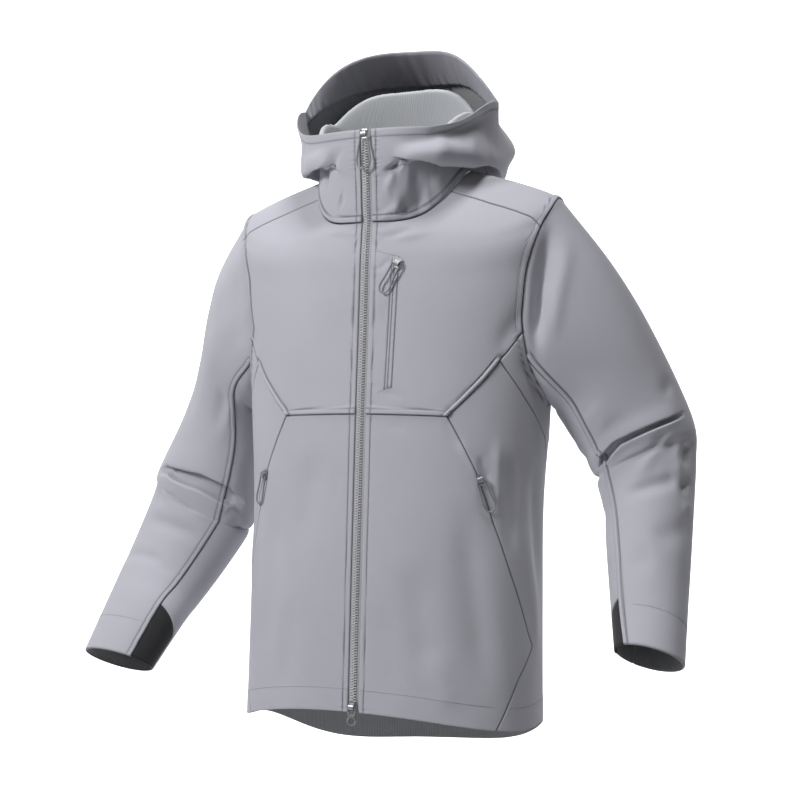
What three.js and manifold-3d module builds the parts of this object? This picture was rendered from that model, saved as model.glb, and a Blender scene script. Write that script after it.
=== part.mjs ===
// A hooded softshell jacket in its worn shape, with nothing inside it.
// Millimetres, +Z up. The front faces -Y and the wearer's left is +X.
// The origin is on the inside of the collar at the centre back, where the nape carries the jacket.
//
// Every cloth piece is a wall over one of three smooth surfaces: the body, the hood and a sleeve.
// A surface takes two numbers: an angle round the ring, and how far along the rings the point lies.
// The heights in the tables count from a level between the chest seam and the armpit.
import * as THREE from "three";
import Module from "manifold-3d";
import { mergeVertices } from "three/addons/utils/BufferGeometryUtils.js";

const wasm = await Module();
wasm.setup();

// Driving sizes

const CLOTH = 1.6;
const KNIT = 1.4;
const FACING = 1;
const SEAM_GAP = 0.3;
const CURVED_SEAM_GAP = 0.45;
const LAYER_GAP = 0.5;
const HEM_FRONT = -394;
const NECK_FRONT = 229;
const CHEST_SEAM = -18;
const RIM = 7;
const PLACKET_EDGE = 6.8;
const ZIP_TOP = 338;
const CUFF = 9;
const BODY_CLEARANCE = 2.5;

// Rings of the body. front_z also names the ring. square is 2 for an oval and more for a boxier ring;
// rise says how late the ring climbs from its front or back height to its side height, and tilt how much
// higher its back hangs on the wearer's left.
const RING_COLUMNS = [
  "width", "front_y", "side_y", "back_y", "front_z", "side_z", "back_z", "square", "rise", "rise_back", "sweep", "tilt",
];
const BODY_RINGS = table(RING_COLUMNS, [
  [206, -137, -22, 122, HEM_FRONT, -424, -481, 2.2, 2.0, 4.0, 1, 20],
  [204, -130, -14, 121, -260, -270, -300, 2.2, 2.0, 3.0, 1, 8],
  [203, -122, -6, 123, -130, -130, -140, 2.25, 2.0, 2.2, 1, 0],
  [211, -114, 3, 131, 0, -4, 4, 2.3, 2.5, 2.2, 1, 0],
  [215, -108, 8, 136, 80, 78, 92, 2.4, 3.5, 2.2, 1, 0],
  [227, -103, 10, 131, 150, 173, 178, 2.3, 4.0, 2.2, 1, 0],
  [236, -100, 10, 118, 190, 236, 228, 2.1, 4.0, 2.2, 1, 0],
  [225, -98, 9, 107, 204, 261, 254, 2.0, 4.5, 2.2, 1, 0],
  [178, -97, 7, 94, 216, 281, 283, 2.0, 4.5, 2.2, 1, 0],
  [108, -95, 2, 74, NECK_FRONT, 302, 315, 2.0, 4.5, 2.2, 1, 0],
]);

// Rings of the hood, which lies back: up the collar, over the fold, down into the pouch and up to the rim.
const HOOD_RINGS = table(RING_COLUMNS, [
  [108, -95, 2, 74, NECK_FRONT, 302, 315, 2.0, 4.5, 2.2, 1, 0],
  [105, -97, 4, 58, 252, 338, 366, 2.1, 3.0, 2.4, 1, 0],
  [103, -98, 14, 43, 275, 378, 421, 2.2, 2.0, 3.5, 1, 0],
  [113, -99, 17, 66, 290, 346, 378, 2.2, 2.0, 2.4, 1, 0],
  [132, -100, 20, 119, 303, 308, 282, 2.2, 2.4, 2.2, 1, 0],
  [139, -101, 18, 174, 318, 320, 290, 2.15, 3.0, 2.2, 1, 0],
  [140, -101, 16, 190, 333, 357, 388, 2.1, 4.0, 2.2, 1.2, 0],
  [143, -100, 7, 60, 348, 396, 484, 2.2, 7.0, 2.4, 7, -9],
]);

// Sections of the sleeves from the armhole to the cuff: the outer and inner ends, the middle and the half depth.
const SLEEVE_COLUMNS = ["outer_x", "outer_z", "inner_x", "inner_z", "middle_y", "half_depth"];
const SLEEVES = {
  left: table(SLEEVE_COLUMNS, [
    [250, 234, 196, 16, 18, 60],
    [299, 166, 206, -5, 28, 61],
    [335, 96, 219, -28, 42, 60],
    [367, 26, 240, -66, 54, 57],
    [389, -32, 257, -96, 58, 55],
    [391, -72, 266, -116, 54, 52],
    [392, -129, 279, -152, 38, 49],
    [395, -199, 289, -200, 10, 45],
    [398, -259, 303, -262, -22, 41],
    [403, -318, 316, -307, -57, 36],
  ]),
  right: table(SLEEVE_COLUMNS, [
    [-250, 244, -203, 16, 14, 60],
    [-287, 180, -221, -8, 20, 61],
    [-306, 88, -222, -34, 28, 60],
    [-345, -7, -227, -89, 36, 57],
    [-400, -102, -248, -177, 40, 55],
    [-406, -135, -258, -198, 36, 52],
    [-426, -199, -289, -248, 20, 49],
    [-436, -248, -309, -286, -6, 45],
    [-443, -300, -317, -309, -36, 41],
    [-452, -362, -343, -373, -76, 36],
  ]),
};

// The armhole on the body: turn 0 is the shoulder, 90 the front, 180 the underarm and 270 the back.
const ARMHOLE = table(["turn", "angle", "ring"], [
  [-30, 112, 194],
  [0, 92, 203.5],
  [30, 70, 195],
  [50, 61.5, 178],
  [70, 60.3, 150],
  [90, 60.8, 118],
  [110, 63.2, 86],
  [130, 68.5, 56],
  [150, 76.5, 30],
  [180, 92, 5],
  [210, 104, 24],
  [230, 111, 50],
  [250, 116.5, 82],
  [270, 119.5, 116],
  [290, 120, 148],
  [310, 118.5, 176],
  [330, 112, 194],
  [360, 92, 203.5],
  [390, 70, 195],
]);

// The largest folds. Each runs from one point of its surface to another; a negative depth is a ridge.
const FOLD_COLUMNS = ["from_angle", "from_along", "to_angle", "to_along", "half_width", "depth"];
const BODY_FOLDS = rows(FOLD_COLUMNS, [
  [38, -120, 52, -370, 26, 5],
  [20, -190, 26, -360, 20, 3],
  [-34, -110, -46, -340, 26, 4],
  [-16, -60, -22, -200, 18, 2.5],
  [80, -60, 92, -250, 22, 4],
  [-84, -50, -96, -240, 22, 4],
  [150, 120, 168, -160, 28, 5],
  [-152, 130, -166, -120, 28, 5],
  [140, -120, 176, -250, 24, 4],
  [-138, -160, -178, -300, 24, 4],
]);
const HOOD_FOLDS = rows(FOLD_COLUMNS, [
  [15, 3.6, 46, 3.5, 9, 5],
  [14, 4.9, 50, 4.7, 13, -5],
  [-22, 3.7, -52, 3.6, 8, 4],
  [-20, 5.0, -52, 4.8, 13, -4],
  [28, 1.7, 56, 0.9, 15, 5],
  [16, 5.5, 44, 5.3, 11, 3],
  [-16, 5.8, -29, 2.0, 7, 4],
  [158, 5.9, 166, 4.6, 12, 4],
  [-150, 5.9, -160, 4.6, 12, 4],
]);
const SLEEVE_FOLDS = {
  left: rows(FOLD_COLUMNS, [
    [30, 0.35, 125, 0.5, 10, 6],
    [-8, 4.5, 132, 4.5, 16, 10],
    [128, 4.5, 240, 4.5, 16, 6],
    [20, 5.6, 110, 5.9, 10, 4],
    [150, 3.2, 230, 3.7, 12, 4],
    [0, 6.4, 80, 6.9, 12, 3],
  ]),
  right: rows(FOLD_COLUMNS, [
    [40, 0.4, 110, 0.6, 10, 3],
    [-8, 4.5, 132, 4.5, 16, 10],
    [128, 4.5, 240, 4.5, 16, 6],
    [30, 5.7, 130, 5.5, 10, 4],
    [140, 3.0, 230, 3.6, 12, 4],
    [10, 6.8, 100, 6.5, 12, 3],
  ]),
};
const BODY_DEGREE = 3.7;
const HOOD_DEGREE = 2.1;
const HOOD_RING_STEP = 17;
const SLEEVE_DEGREE = 1;
const SLEEVE_STATION_STEP = 60;

// Seams of the wearer's left half as (angle, ring) points. The right half mirrors the angles.
const CHEST_CORNER = [30, -20];
const CHEST_JOIN = [51.5, 51];
const UNDERARM_SIDE = [90.5, -44];
const NECK_SHOULDER = [62, NECK_FRONT];
const HEM_GUSSET = [56.5, HEM_FRONT];
const HEM_SIDE = [118, HEM_FRONT];
const YOKE_BACK = [180, 167];
const TURN_CHEST = 110;
const TURN_SHOULDER = 40;
const TURN_UNDERARM = 180;
const TURN_YOKE = 300;
const SLEEVE_SEAM_FRONT = 130;
const SLEEVE_SEAM_BACK = 235;
const HOOD_SEAM = 128;
const ARMHOLE_TURNS = [0, 20, 40, 63, 87, 110, 130, 155, 180, 207, 235, 257, 279, 300, 320, 340, 360];
const SLEEVE_STATIONS = [0, 0.3, 0.7, 1.3, 2, 2.7, 3.4, 3.9, 4.2, 4.35, 4.5, 4.65, 4.8, 5.1, 5.7, 6.4, 7.2, 7.95];
const CUFF_STATIONS = [8.4, CUFF];
const HOOD_STEPS = [0, 0.5, 1, 1.5, 1.8, 2, 2.2, 2.5, 3, 3.4, 3.7, 4, 4.3, 4.7, 5.2, 5.7, 6.1, 6.45, 6.75, 7];
const HOOD_FRONT_PARTS = 6;
const HOOD_SIDE_PARTS = 4;
const HOOD_BACK_PARTS = 12;

// Colours

const clothFinish = () => new THREE.MeshStandardMaterial({ color: 0xa9a9b2, roughness: 0.78, metalness: 0 });
const knitFinish = () => new THREE.MeshStandardMaterial({ color: 0xb3b7bd, roughness: 0.9, metalness: 0 });
const insideFinish = () => new THREE.MeshStandardMaterial({ color: 0x5c5c64, roughness: 0.85, metalness: 0 });
const stretchFinish = () => new THREE.MeshStandardMaterial({ color: 0x1c1c20, roughness: 0.85, metalness: 0 });
const metalFinish = () => new THREE.MeshStandardMaterial({ color: 0xc9c9cc, roughness: 0.35, metalness: 0.8 });

// Tables and curves

function table(columns, values) {
  return Object.fromEntries(columns.map((name, i) => [name, values.map((row) => row[i])]));
}

function rows(columns, values) {
  return values.map((row) => Object.fromEntries(columns.map((name, i) => [name, row[i]])));
}

function clamp(value, low, high) {
  return Math.min(high, Math.max(low, value));
}

function smoothstep(t) {
  const c = clamp(t, 0, 1);
  return c * c * (3 - 2 * c);
}

// The value at x of the smooth curve through the points (xs, ys).
function smooth(xs, ys, x) {
  const last = xs.length - 1;
  const at = clamp(x, xs[0], xs[last]);
  let i = 0;
  while (i < last - 1 && at >= xs[i + 1]) i += 1;
  const slope = (k) => (ys[k + 1] - ys[k]) / (xs[k + 1] - xs[k]);
  const tangent = (k) => {
    if (k === 0) return slope(0);
    if (k === last) return slope(last - 1);
    const before = xs[k] - xs[k - 1];
    const after = xs[k + 1] - xs[k];
    return (slope(k - 1) * after + slope(k) * before) / (before + after);
  };
  const h = xs[i + 1] - xs[i];
  const t = (at - xs[i]) / h;
  return (
    (1 + 2 * t) * (1 - t) ** 2 * ys[i] +
    t * (1 - t) ** 2 * h * tangent(i) +
    t * t * (3 - 2 * t) * ys[i + 1] +
    t * t * (t - 1) * h * tangent(i + 1)
  );
}

function ringAt(rings, key, along) {
  return Object.fromEntries(RING_COLUMNS.map((name) => [name, smooth(key, rings[name], along)]));
}

// A point of a ring. Angle 0 is the centre front, 90 the wearer's left side and 180 the centre back.
function ringPoint(ring, angle) {
  const s = Math.sin(THREE.MathUtils.degToRad(angle));
  const c = Math.cos(THREE.MathUtils.degToRad(angle));
  const power = 2 / ring.square;
  const inFront = c > 0;
  const middle = inFront ? ring.front_y : ring.back_y;
  const low = inFront ? ring.front_z : ring.back_z;
  return new THREE.Vector3(
    ring.width * Math.sign(s) * Math.abs(s) ** power,
    ring.side_y + (middle - ring.side_y) * Math.abs(c) ** (inFront ? power : power * ring.sweep),
    low + (ring.side_z - low) * Math.abs(s) ** (inFront ? ring.rise : ring.rise_back) + (ring.tilt * s * (1 - c)) / 2,
  );
}

// How deep the folds are at a point, from its distance to each fold's line in millimetres.
function foldDepth(folds, angle, along, degree, step) {
  return folds.reduce((sum, fold) => {
    const lineA = (fold.to_angle - fold.from_angle) * degree;
    const lineB = (fold.to_along - fold.from_along) * step;
    const middle = (fold.from_angle + fold.to_angle) / 2;
    const near = angle - 360 * Math.round((angle - middle) / 360);
    const a = (near - fold.from_angle) * degree;
    const b = (along - fold.from_along) * step;
    const t = clamp((a * lineA + b * lineB) / (lineA ** 2 + lineB ** 2), 0, 1);
    const away = Math.hypot(a - t * lineA, b - t * lineB) / fold.half_width;
    return sum + fold.depth * Math.exp(-away * away) * Math.sqrt(Math.abs(Math.sin(Math.PI * t)));
  }, 0);
}

// The three surfaces. Each gives the outward normal, and the point with its folds pressed in.
// facing is -1 where the angle runs the other way round.

function surface(bare, steps, limits, folds, foldScale, facing = 1) {
  const plain = (a, b) => bare(a, clamp(b, limits[0], limits[1]));
  const normal = (a, b) => {
    const across = plain(a + steps[0], b).sub(plain(a - steps[0], b));
    const up = plain(a, b + steps[1]).sub(plain(a, b - steps[1]));
    return across.cross(up).normalize().multiplyScalar(facing);
  };
  const point = (a, b) => {
    const depth = foldDepth(folds, a, b, foldScale[0], foldScale[1]);
    return plain(a, b).addScaledVector(normal(a, b), -depth);
  };
  return { point, normal };
}

const body = surface(
  (angle, ring) => ringPoint(ringAt(BODY_RINGS, BODY_RINGS.front_z, ring), angle),
  [0.5, 1.5],
  [HEM_FRONT, NECK_FRONT],
  BODY_FOLDS,
  [BODY_DEGREE, 1],
);

const HOOD_RING_NUMBERS = HOOD_RINGS.width.map((_, i) => i);
const hood = surface(
  (angle, along) => ringPoint(ringAt(HOOD_RINGS, HOOD_RING_NUMBERS, along), angle),
  [0.5, 0.04],
  [0, RIM],
  HOOD_FOLDS,
  [HOOD_DEGREE, HOOD_RING_STEP],
);

function armholeAt(turn) {
  const at = ((turn % 360) + 360) % 360;
  return [smooth(ARMHOLE.turn, ARMHOLE.angle, at), smooth(ARMHOLE.turn, ARMHOLE.ring, at)];
}

// The half width of the body at a depth and height, where a sleeve hangs beside it.
function bodyHalfWidth(y, z) {
  const ring = ringAt(BODY_RINGS, BODY_RINGS.front_z, Math.min(z, 40));
  const middle = y < ring.side_y ? ring.front_y : ring.back_y;
  const share = clamp(Math.abs((y - ring.side_y) / (middle - ring.side_y)), 0, 1);
  return ring.width * (1 - share ** ring.square) ** (1 / ring.square);
}

function sleeveSurface(side) {
  const sign = side === "left" ? 1 : -1;
  const sections = SLEEVES[side];
  const stations = sections.outer_x.map((_, i) => i);
  const value = (name, station) => smooth(stations, sections[name], station);
  const middle = (station) =>
    new THREE.Vector3(
      (value("outer_x", station) + value("inner_x", station)) / 2,
      value("middle_y", station),
      (value("outer_z", station) + value("inner_z", station)) / 2,
    );
  const section = (turn, station) => {
    const half = new THREE.Vector3(
      (value("outer_x", station) - value("inner_x", station)) / 2,
      0,
      (value("outer_z", station) - value("inner_z", station)) / 2,
    );
    const along = middle(Math.min(station + 1.2, CUFF)).sub(middle(Math.max(station - 1.2, 0)));
    const depth = along.cross(half).normalize();
    depth.multiplyScalar(-Math.sign(depth.y) * value("half_depth", station));
    const t = THREE.MathUtils.degToRad(turn);
    return middle(station).addScaledVector(half, Math.cos(t)).addScaledVector(depth, Math.sin(t));
  };
  const bare = (turn, station) => {
    const [angle, ring] = armholeAt(turn);
    const loop = body.point(sign * angle, ring);
    const lead = loop.sub(section(turn, 0)).multiplyScalar(1 - smoothstep(station / 2));
    const p = section(turn, station).add(lead);
    const low = smoothstep((20 - p.z) / 30) * smoothstep(station / 0.7);
    const least = bodyHalfWidth(p.y, p.z) + BODY_CLEARANCE;
    const inside = least - sign * p.x;
    const soft = (inside + Math.hypot(inside, 3)) / 2;
    p.x += sign * soft * low;
    return p;
  };
  return surface(bare, [1, 0.04], [0, CUFF], SLEEVE_FOLDS[side], [SLEEVE_DEGREE, SLEEVE_STATION_STEP], sign);
}
const sleeves = { left: sleeveSurface("left"), right: sleeveSurface("right") };

// The walls' normals. Where two surfaces meet at a seam, both walls end on the plane halfway between them.

function meeting(first, second) {
  return first.add(second).normalize();
}

const bodyWall = {
  point: body.point,
  normal: (angle, ring, turn) => {
    const own = body.normal(angle, ring);
    const side = angle < 0 || angle > 180 ? "right" : "left";
    if (turn !== undefined) return meeting(own, sleeves[side].normal(turn, 0));
    return ring >= NECK_FRONT - 1e-6 ? meeting(own, hood.normal(angle, 0)) : own;
  },
};
const hoodWall = {
  point: hood.point,
  normal: (angle, at) => {
    const own = hood.normal(angle, at);
    return at <= 1e-6 ? meeting(own, body.normal(angle, NECK_FRONT)) : own;
  },
};

function sleeveWall(side) {
  const normal = (turn, station) => {
    const own = sleeves[side].normal(turn, station);
    if (station > 1e-6) return own;
    const [angle, ring] = armholeAt(turn);
    return meeting(own, body.normal(side === "left" ? angle : -angle, ring));
  };
  // The sleeve starts a seam gap outside the armhole.
  const point = (turn, station) => {
    const p = sleeves[side].point(turn, station);
    if (station < 1e-6) p.x += side === "left" ? SEAM_GAP : -SEAM_GAP;
    return p;
  };
  return { point, normal };
}

// Patches of a surface

// count + 1 points evenly spaced along a line of domain points.
function along(points, count) {
  const steps = points.slice(1).map((p, i) => Math.hypot((p[0] - points[i][0]) * BODY_DEGREE, p[1] - points[i][1]));
  const total = steps.reduce((sum, step) => sum + step, 0);
  return Array.from({ length: count + 1 }, (_, k) => {
    let rest = (total * k) / count;
    let i = 0;
    while (i < steps.length - 1 && rest > steps[i]) {
      rest -= steps[i];
      i += 1;
    }
    const t = clamp(rest / steps[i], 0, 1);
    return [0, 1].map((n) => points[i][n] + (points[i + 1][n] - points[i][n]) * t);
  });
}

// The armhole's points between two of its turns, each with its turn as a third number.
function armholeLine(from, to) {
  const wrap = to < from && from - to > 180 ? 360 : 0;
  const all = ARMHOLE_TURNS.concat(ARMHOLE_TURNS.slice(1).map((turn) => turn + 360));
  const end = to + wrap;
  const picked = all.filter((turn) => turn >= Math.min(from, end) && turn <= Math.max(from, end));
  const ordered = from < end ? picked : picked.reverse();
  return ordered.map((turn) => [...armholeAt(turn), turn]);
}

function joined(...lines) {
  return lines.reduce((all, line) => all.concat(all.length ? line.slice(1) : line), []);
}

function mirrored(line) {
  return line.map(([a, b, turn]) => (turn === undefined ? [-a, b] : [-a, b, turn]));
}

function wrapped(line) {
  return line.map(([a, b, turn]) => (turn === undefined ? [360 - a, b] : [360 - a, b, turn]));
}

// A grid of domain points filled in between four lines: bottom and top run from left to right.
function patch(bottom, right, top, left) {
  const n = bottom.length - 1;
  const m = left.length - 1;
  if (top.length !== n + 1 || right.length !== m + 1) throw new Error("the sides of a patch differ in points");
  return left.map((_, j) =>
    bottom.map((_, i) => {
      if (j === 0) return bottom[i];
      if (j === m) return top[i];
      if (i === 0) return left[j];
      if (i === n) return right[j];
      const u = i / n;
      const v = j / m;
      return [0, 1].map(
        (k) =>
          (1 - v) * bottom[i][k] + v * top[i][k] + (1 - u) * left[j][k] + u * right[j][k] -
          (1 - u) * (1 - v) * bottom[0][k] - u * (1 - v) * bottom[n][k] -
          (1 - u) * v * top[0][k] - u * v * top[n][k],
      );
    }),
  );
}

// A closed wall over the grids, which share the points where they join. Its outer face lies sunk below the
// surface by that much, and its edges stand half a seam gap back from the seam.
function wall(grids, skin, { sunk = 0, thickness = CLOTH, gap = SEAM_GAP } = {}) {
  const index = new Map();
  const points = [];
  const normals = [];
  const idOf = ([a, b, turn]) => {
    const key = a.toFixed(4) + " " + b.toFixed(4);
    if (!index.has(key)) {
      index.set(key, points.length);
      points.push(skin.point(a, b));
      normals.push(skin.normal(a, b, turn));
    }
    return index.get(key);
  };
  const faces = grids.flatMap((grid) => {
    const some = gridFaces(grid.map((line) => line.map(idOf)), turnsBack(grid));
    const facing = some.reduce((sum, face) => sum + faceNormal(face, points).dot(normals[face[0]]), 0);
    return facing < 0 ? some.map((face) => face.reverse()) : some;
  });
  const edges = rimEdges(faces);
  setBack(points, normals, edges, gap / 2);
  const outer = points.map((p, i) => p.clone().addScaledVector(normals[i], -sunk));
  const inner = points.map((p, i) => p.clone().addScaledVector(normals[i], -sunk - thickness));
  const count = points.length;
  const closed = faces.flatMap(([a, b, c]) => [[a, b, c], [c + count, b + count, a + count]]);
  for (const [a, b] of edges) closed.push([b, a, a + count], [b, a + count, b + count]);
  return geometry(outer.concat(inner), closed);
}

// Cells are split the same way on both halves of the jacket, and so on every layer.
function gridFaces(ids, flips) {
  const faces = [];
  for (let j = 0; j + 1 < ids.length; j += 1)
    for (let i = 0; i + 1 < ids[j].length; i += 1) {
      const [a, b, c, d] = [ids[j][i], ids[j][i + 1], ids[j + 1][i + 1], ids[j + 1][i]];
      if (flips[j][i]) faces.push([a, b, d], [b, c, d]);
      else faces.push([a, b, c], [a, c, d]);
    }
  return faces.filter((face) => new Set(face).size === 3);
}

// True for the cells where the angle runs back towards the centre front.
function turnsBack(grid) {
  const fromFront = ([angle]) => Math.abs(angle - 360 * Math.round(angle / 360));
  return grid.map((line) => line.slice(1).map((p, i) => fromFront(p) < fromFront(line[i])));
}

function faceNormal([a, b, c], points) {
  return points[b].clone().sub(points[a]).cross(points[c].clone().sub(points[a]));
}

// The directed edges that only one face uses.
function rimEdges(faces) {
  const used = new Set(faces.flatMap(([a, b, c]) => [a + " " + b, b + " " + c, c + " " + a]));
  return [...used].map((key) => key.split(" ").map(Number)).filter(([a, b]) => !used.has(b + " " + a));
}

function setBack(points, normals, edges, distance) {
  const inwards = points.map(() => []);
  for (const [a, b] of edges) {
    const normal = normals[a].clone().add(normals[b]);
    const inward = normal.cross(points[b].clone().sub(points[a])).normalize();
    inwards[a].push(inward);
    inwards[b].push(inward);
  }
  inwards.forEach((list, i) => {
    if (list.length < 2) return;
    const spread = Math.max(1 + list[0].dot(list[1]), 0.4);
    points[i].addScaledVector(list[0].clone().add(list[1]), distance / spread);
  });
}

function geometry(points, faces) {
  const shape = new THREE.BufferGeometry();
  shape.setAttribute("position", new THREE.Float32BufferAttribute(points.flatMap((p) => p.toArray()), 3));
  shape.setIndex(faces.flat());
  return volumeOf(points, faces) < 0 ? flipped(shape) : shape;
}

function volumeOf(points, faces) {
  return faces.reduce((sum, [a, b, c]) => sum + points[a].dot(points[b].clone().cross(points[c])), 0) / 6;
}

function flipped(shape) {
  const order = shape.index.array;
  for (let i = 0; i < order.length; i += 3) [order[i], order[i + 1]] = [order[i + 1], order[i]];
  return shape;
}

// Body panels

function angleOf(ring, x) {
  return THREE.MathUtils.radToDeg(Math.asin((x / ring.width) ** (ring.square / 2)));
}
const centreAngle = (rings, key, at) => angleOf(ringAt(rings, key, at), PLACKET_EDGE);
const bodyPlacket = (from, to, count) =>
  Array.from({ length: count + 1 }, (_, k) => {
    const ring = from + ((to - from) * k) / count;
    return [centreAngle(BODY_RINGS, BODY_RINGS.front_z, ring), ring];
  });
const hoodFrontAngles = (at) => {
  const start = centreAngle(HOOD_RINGS, HOOD_RING_NUMBERS, at);
  return Array.from(
    { length: HOOD_FRONT_PARTS + 1 },
    (_, i) => start + ((NECK_SHOULDER[0] - start) * i) / HOOD_FRONT_PARTS,
  );
};

const seam = {
  neckFront: hoodFrontAngles(0).map((angle) => [angle, NECK_FRONT]),
  neckSide: along([NECK_SHOULDER, [HOOD_SEAM, NECK_FRONT]], HOOD_SIDE_PARTS),
  neckBack: along([[HOOD_SEAM, NECK_FRONT], [360 - HOOD_SEAM, NECK_FRONT]], HOOD_BACK_PARTS),
  chest: along([bodyPlacket(CHEST_SEAM, CHEST_SEAM, 1)[0], CHEST_CORNER], 6),
  chestSlant: along([CHEST_CORNER, [45, 28], CHEST_JOIN], 6),
  chestEnd: [CHEST_JOIN, armholeLine(TURN_CHEST, TURN_SHOULDER)[0]],
  armholeFront: armholeLine(TURN_CHEST, TURN_SHOULDER),
  shoulder: joined(
    [armholeLine(TURN_SHOULDER, TURN_SHOULDER)[0]],
    along([armholeAt(TURN_SHOULDER), [60.5, 205], [60, 217], NECK_SHOULDER], 4),
  ),
  pocket: along([CHEST_CORNER, [44.5, -92], [54, -153], [65.5, -220], [78, -284], [83, -303]], 7),
  gusset: along([[83, -303], [70, -338], HEM_GUSSET], 2),
  hemFront: along([bodyPlacket(HEM_FRONT, HEM_FRONT, 1)[0], HEM_GUSSET], 6),
  hemSide: along([HEM_GUSSET, HEM_SIDE], 6),
  underarm: along([CHEST_JOIN, [69, 3], UNDERARM_SIDE], 3),
  sideBack: along([UNDERARM_SIDE, [104, -110], [112, -180], [116, -260], HEM_SIDE], 6),
  armholeUnder: armholeLine(TURN_CHEST, TURN_UNDERARM),
  armholeBack: armholeLine(TURN_UNDERARM, TURN_YOKE),
  armholeTop: armholeLine(TURN_YOKE, TURN_SHOULDER),
};
const front = joined(seam.pocket, seam.gusset);
const side = joined(seam.underarm, seam.sideBack);
const underarmEdge = [UNDERARM_SIDE, seam.armholeUnder.at(-1)];
const yokeEnd = armholeAt(TURN_YOKE);
const yokeSeam = along([yokeEnd, [150, 165], YOKE_BACK, [210, 165], [360 - yokeEnd[0], yokeEnd[1]]], 10);
const reversed = (line) => line.slice().reverse();

const frontChest = patch(
  seam.chest,
  joined(seam.chestSlant, seam.chestEnd, seam.armholeFront, seam.shoulder),
  seam.neckFront,
  bodyPlacket(CHEST_SEAM, NECK_FRONT, 14),
);
const frontLower = patch(seam.hemFront, reversed(front), seam.chest, bodyPlacket(HEM_FRONT, CHEST_SEAM, 9));
const sidePanel = patch(seam.hemSide, reversed(side), seam.chestSlant, reversed(front));
const wing = patch(reversed(seam.underarm), seam.chestEnd, reversed(seam.armholeUnder), underarmEdge);
const backEdge = joined(reversed(seam.sideBack), underarmEdge, seam.armholeBack);
const backMain = patch(
  along([HEM_SIDE, [180, HEM_FRONT], [360 - HEM_SIDE[0], HEM_FRONT]], 10),
  wrapped(backEdge),
  yokeSeam,
  backEdge,
);
const yoke = patch(
  joined(
    reversed(seam.armholeTop),
    yokeSeam,
    wrapped(seam.armholeTop),
  ),
  wrapped(seam.shoulder),
  joined(seam.neckSide, seam.neckBack, wrapped(reversed(seam.neckSide))),
  seam.shoulder,
);
const mirroredGrid = (grid) => grid.map(mirrored);
const wrappedGrid = (grid) => grid.map(wrapped);

const curvedSeams = { gap: CURVED_SEAM_GAP };

const jacket = new THREE.Group();

function add(name, shape, finish) {
  const mesh = new THREE.Mesh(shape, finish);
  mesh.name = name;
  jacket.add(mesh);
}

for (const [sideName, turned] of [["left", (grid) => grid], ["right", mirroredGrid]]) {
  add("front_chest_" + sideName, wall([turned(frontChest)], bodyWall), clothFinish());
  add("front_lower_" + sideName, wall([turned(frontLower)], bodyWall), clothFinish());
  add("side_panel_" + sideName, wall([turned(sidePanel)], bodyWall), clothFinish());
}
add("back_body", wall([backMain, wing, wrappedGrid(wing)], bodyWall), clothFinish());
add("yoke", wall([yoke], bodyWall), clothFinish());

// Hood, its knit neck lining and the facing inside its brim

const hoodLine = (angles, at) => angles.map((angle) => [angle, at]);
const hoodSideAngles = seam.neckSide.map(([angle]) => angle);
const hoodSideGrid = HOOD_STEPS.map((at) =>
  hoodLine(hoodFrontAngles(at).concat(hoodSideAngles.slice(1)), at),
);
const hoodBackAngles = seam.neckBack.map(([angle]) => angle);
const hoodBackGrid = HOOD_STEPS.map((at) => hoodLine(hoodBackAngles, at));
add("hood_side_left", wall([hoodSideGrid], hoodWall, curvedSeams), clothFinish());
add("hood_side_right", wall([mirroredGrid(hoodSideGrid)], hoodWall, curvedSeams), clothFinish());
add("hood_center", wall([hoodBackGrid], hoodWall, curvedSeams), clothFinish());

const LINING_START = 2;
const LINING_TOP = 2;
const LINING_BOTTOM = 0.5;
const liningGrid = HOOD_STEPS.filter((at) => at >= LINING_BOTTOM && at <= LINING_TOP).map((at) => {
  const half = hoodFrontAngles(at).slice(LINING_START).concat(hoodSideAngles.slice(1));
  const other = half.slice().reverse().map((angle) => 360 - angle);
  return hoodLine(half.concat(hoodBackAngles.slice(1, -1), other), at);
});
add("neck_lining", wall([liningGrid], hoodWall, { sunk: CLOTH + LAYER_GAP, thickness: KNIT }), knitFinish());

const BRIM_START = 2;
const BRIM_STEPS = 2;
const brimAngles = hoodSideAngles
  .slice(BRIM_START)
  .concat(hoodBackAngles.slice(1, -1), reversed(hoodSideAngles.slice(BRIM_START)).map((angle) => 360 - angle));
const brimGrid = HOOD_STEPS.slice(-BRIM_STEPS).map((at) => hoodLine(brimAngles, at));
add("brim_facing", wall([brimGrid], hoodWall, { sunk: CLOTH + LAYER_GAP, thickness: FACING }), insideFinish());

// Sleeves, each of an outer and an inner piece, with a stretch insert in the cuff

const INSERT_TURN = 190;
const innerTurns = ARMHOLE_TURNS.filter((turn) => turn >= SLEEVE_SEAM_FRONT && turn <= SLEEVE_SEAM_BACK);
const outerTurns = ARMHOLE_TURNS.filter((turn) => turn >= SLEEVE_SEAM_BACK).concat(
  ARMHOLE_TURNS.filter((turn) => turn > 0 && turn <= SLEEVE_SEAM_FRONT).map((turn) => turn + 360),
);
const insertTurns = innerTurns.filter((turn) => turn < INSERT_TURN).concat(INSERT_TURN);
const tailTurns = [INSERT_TURN].concat(innerTurns.filter((turn) => turn > INSERT_TURN));
const innerTurnsBelow = insertTurns.concat(tailTurns.slice(1));
const sleeveRow = (turns, at) => turns.map((turn) => [turn, at]);
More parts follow.
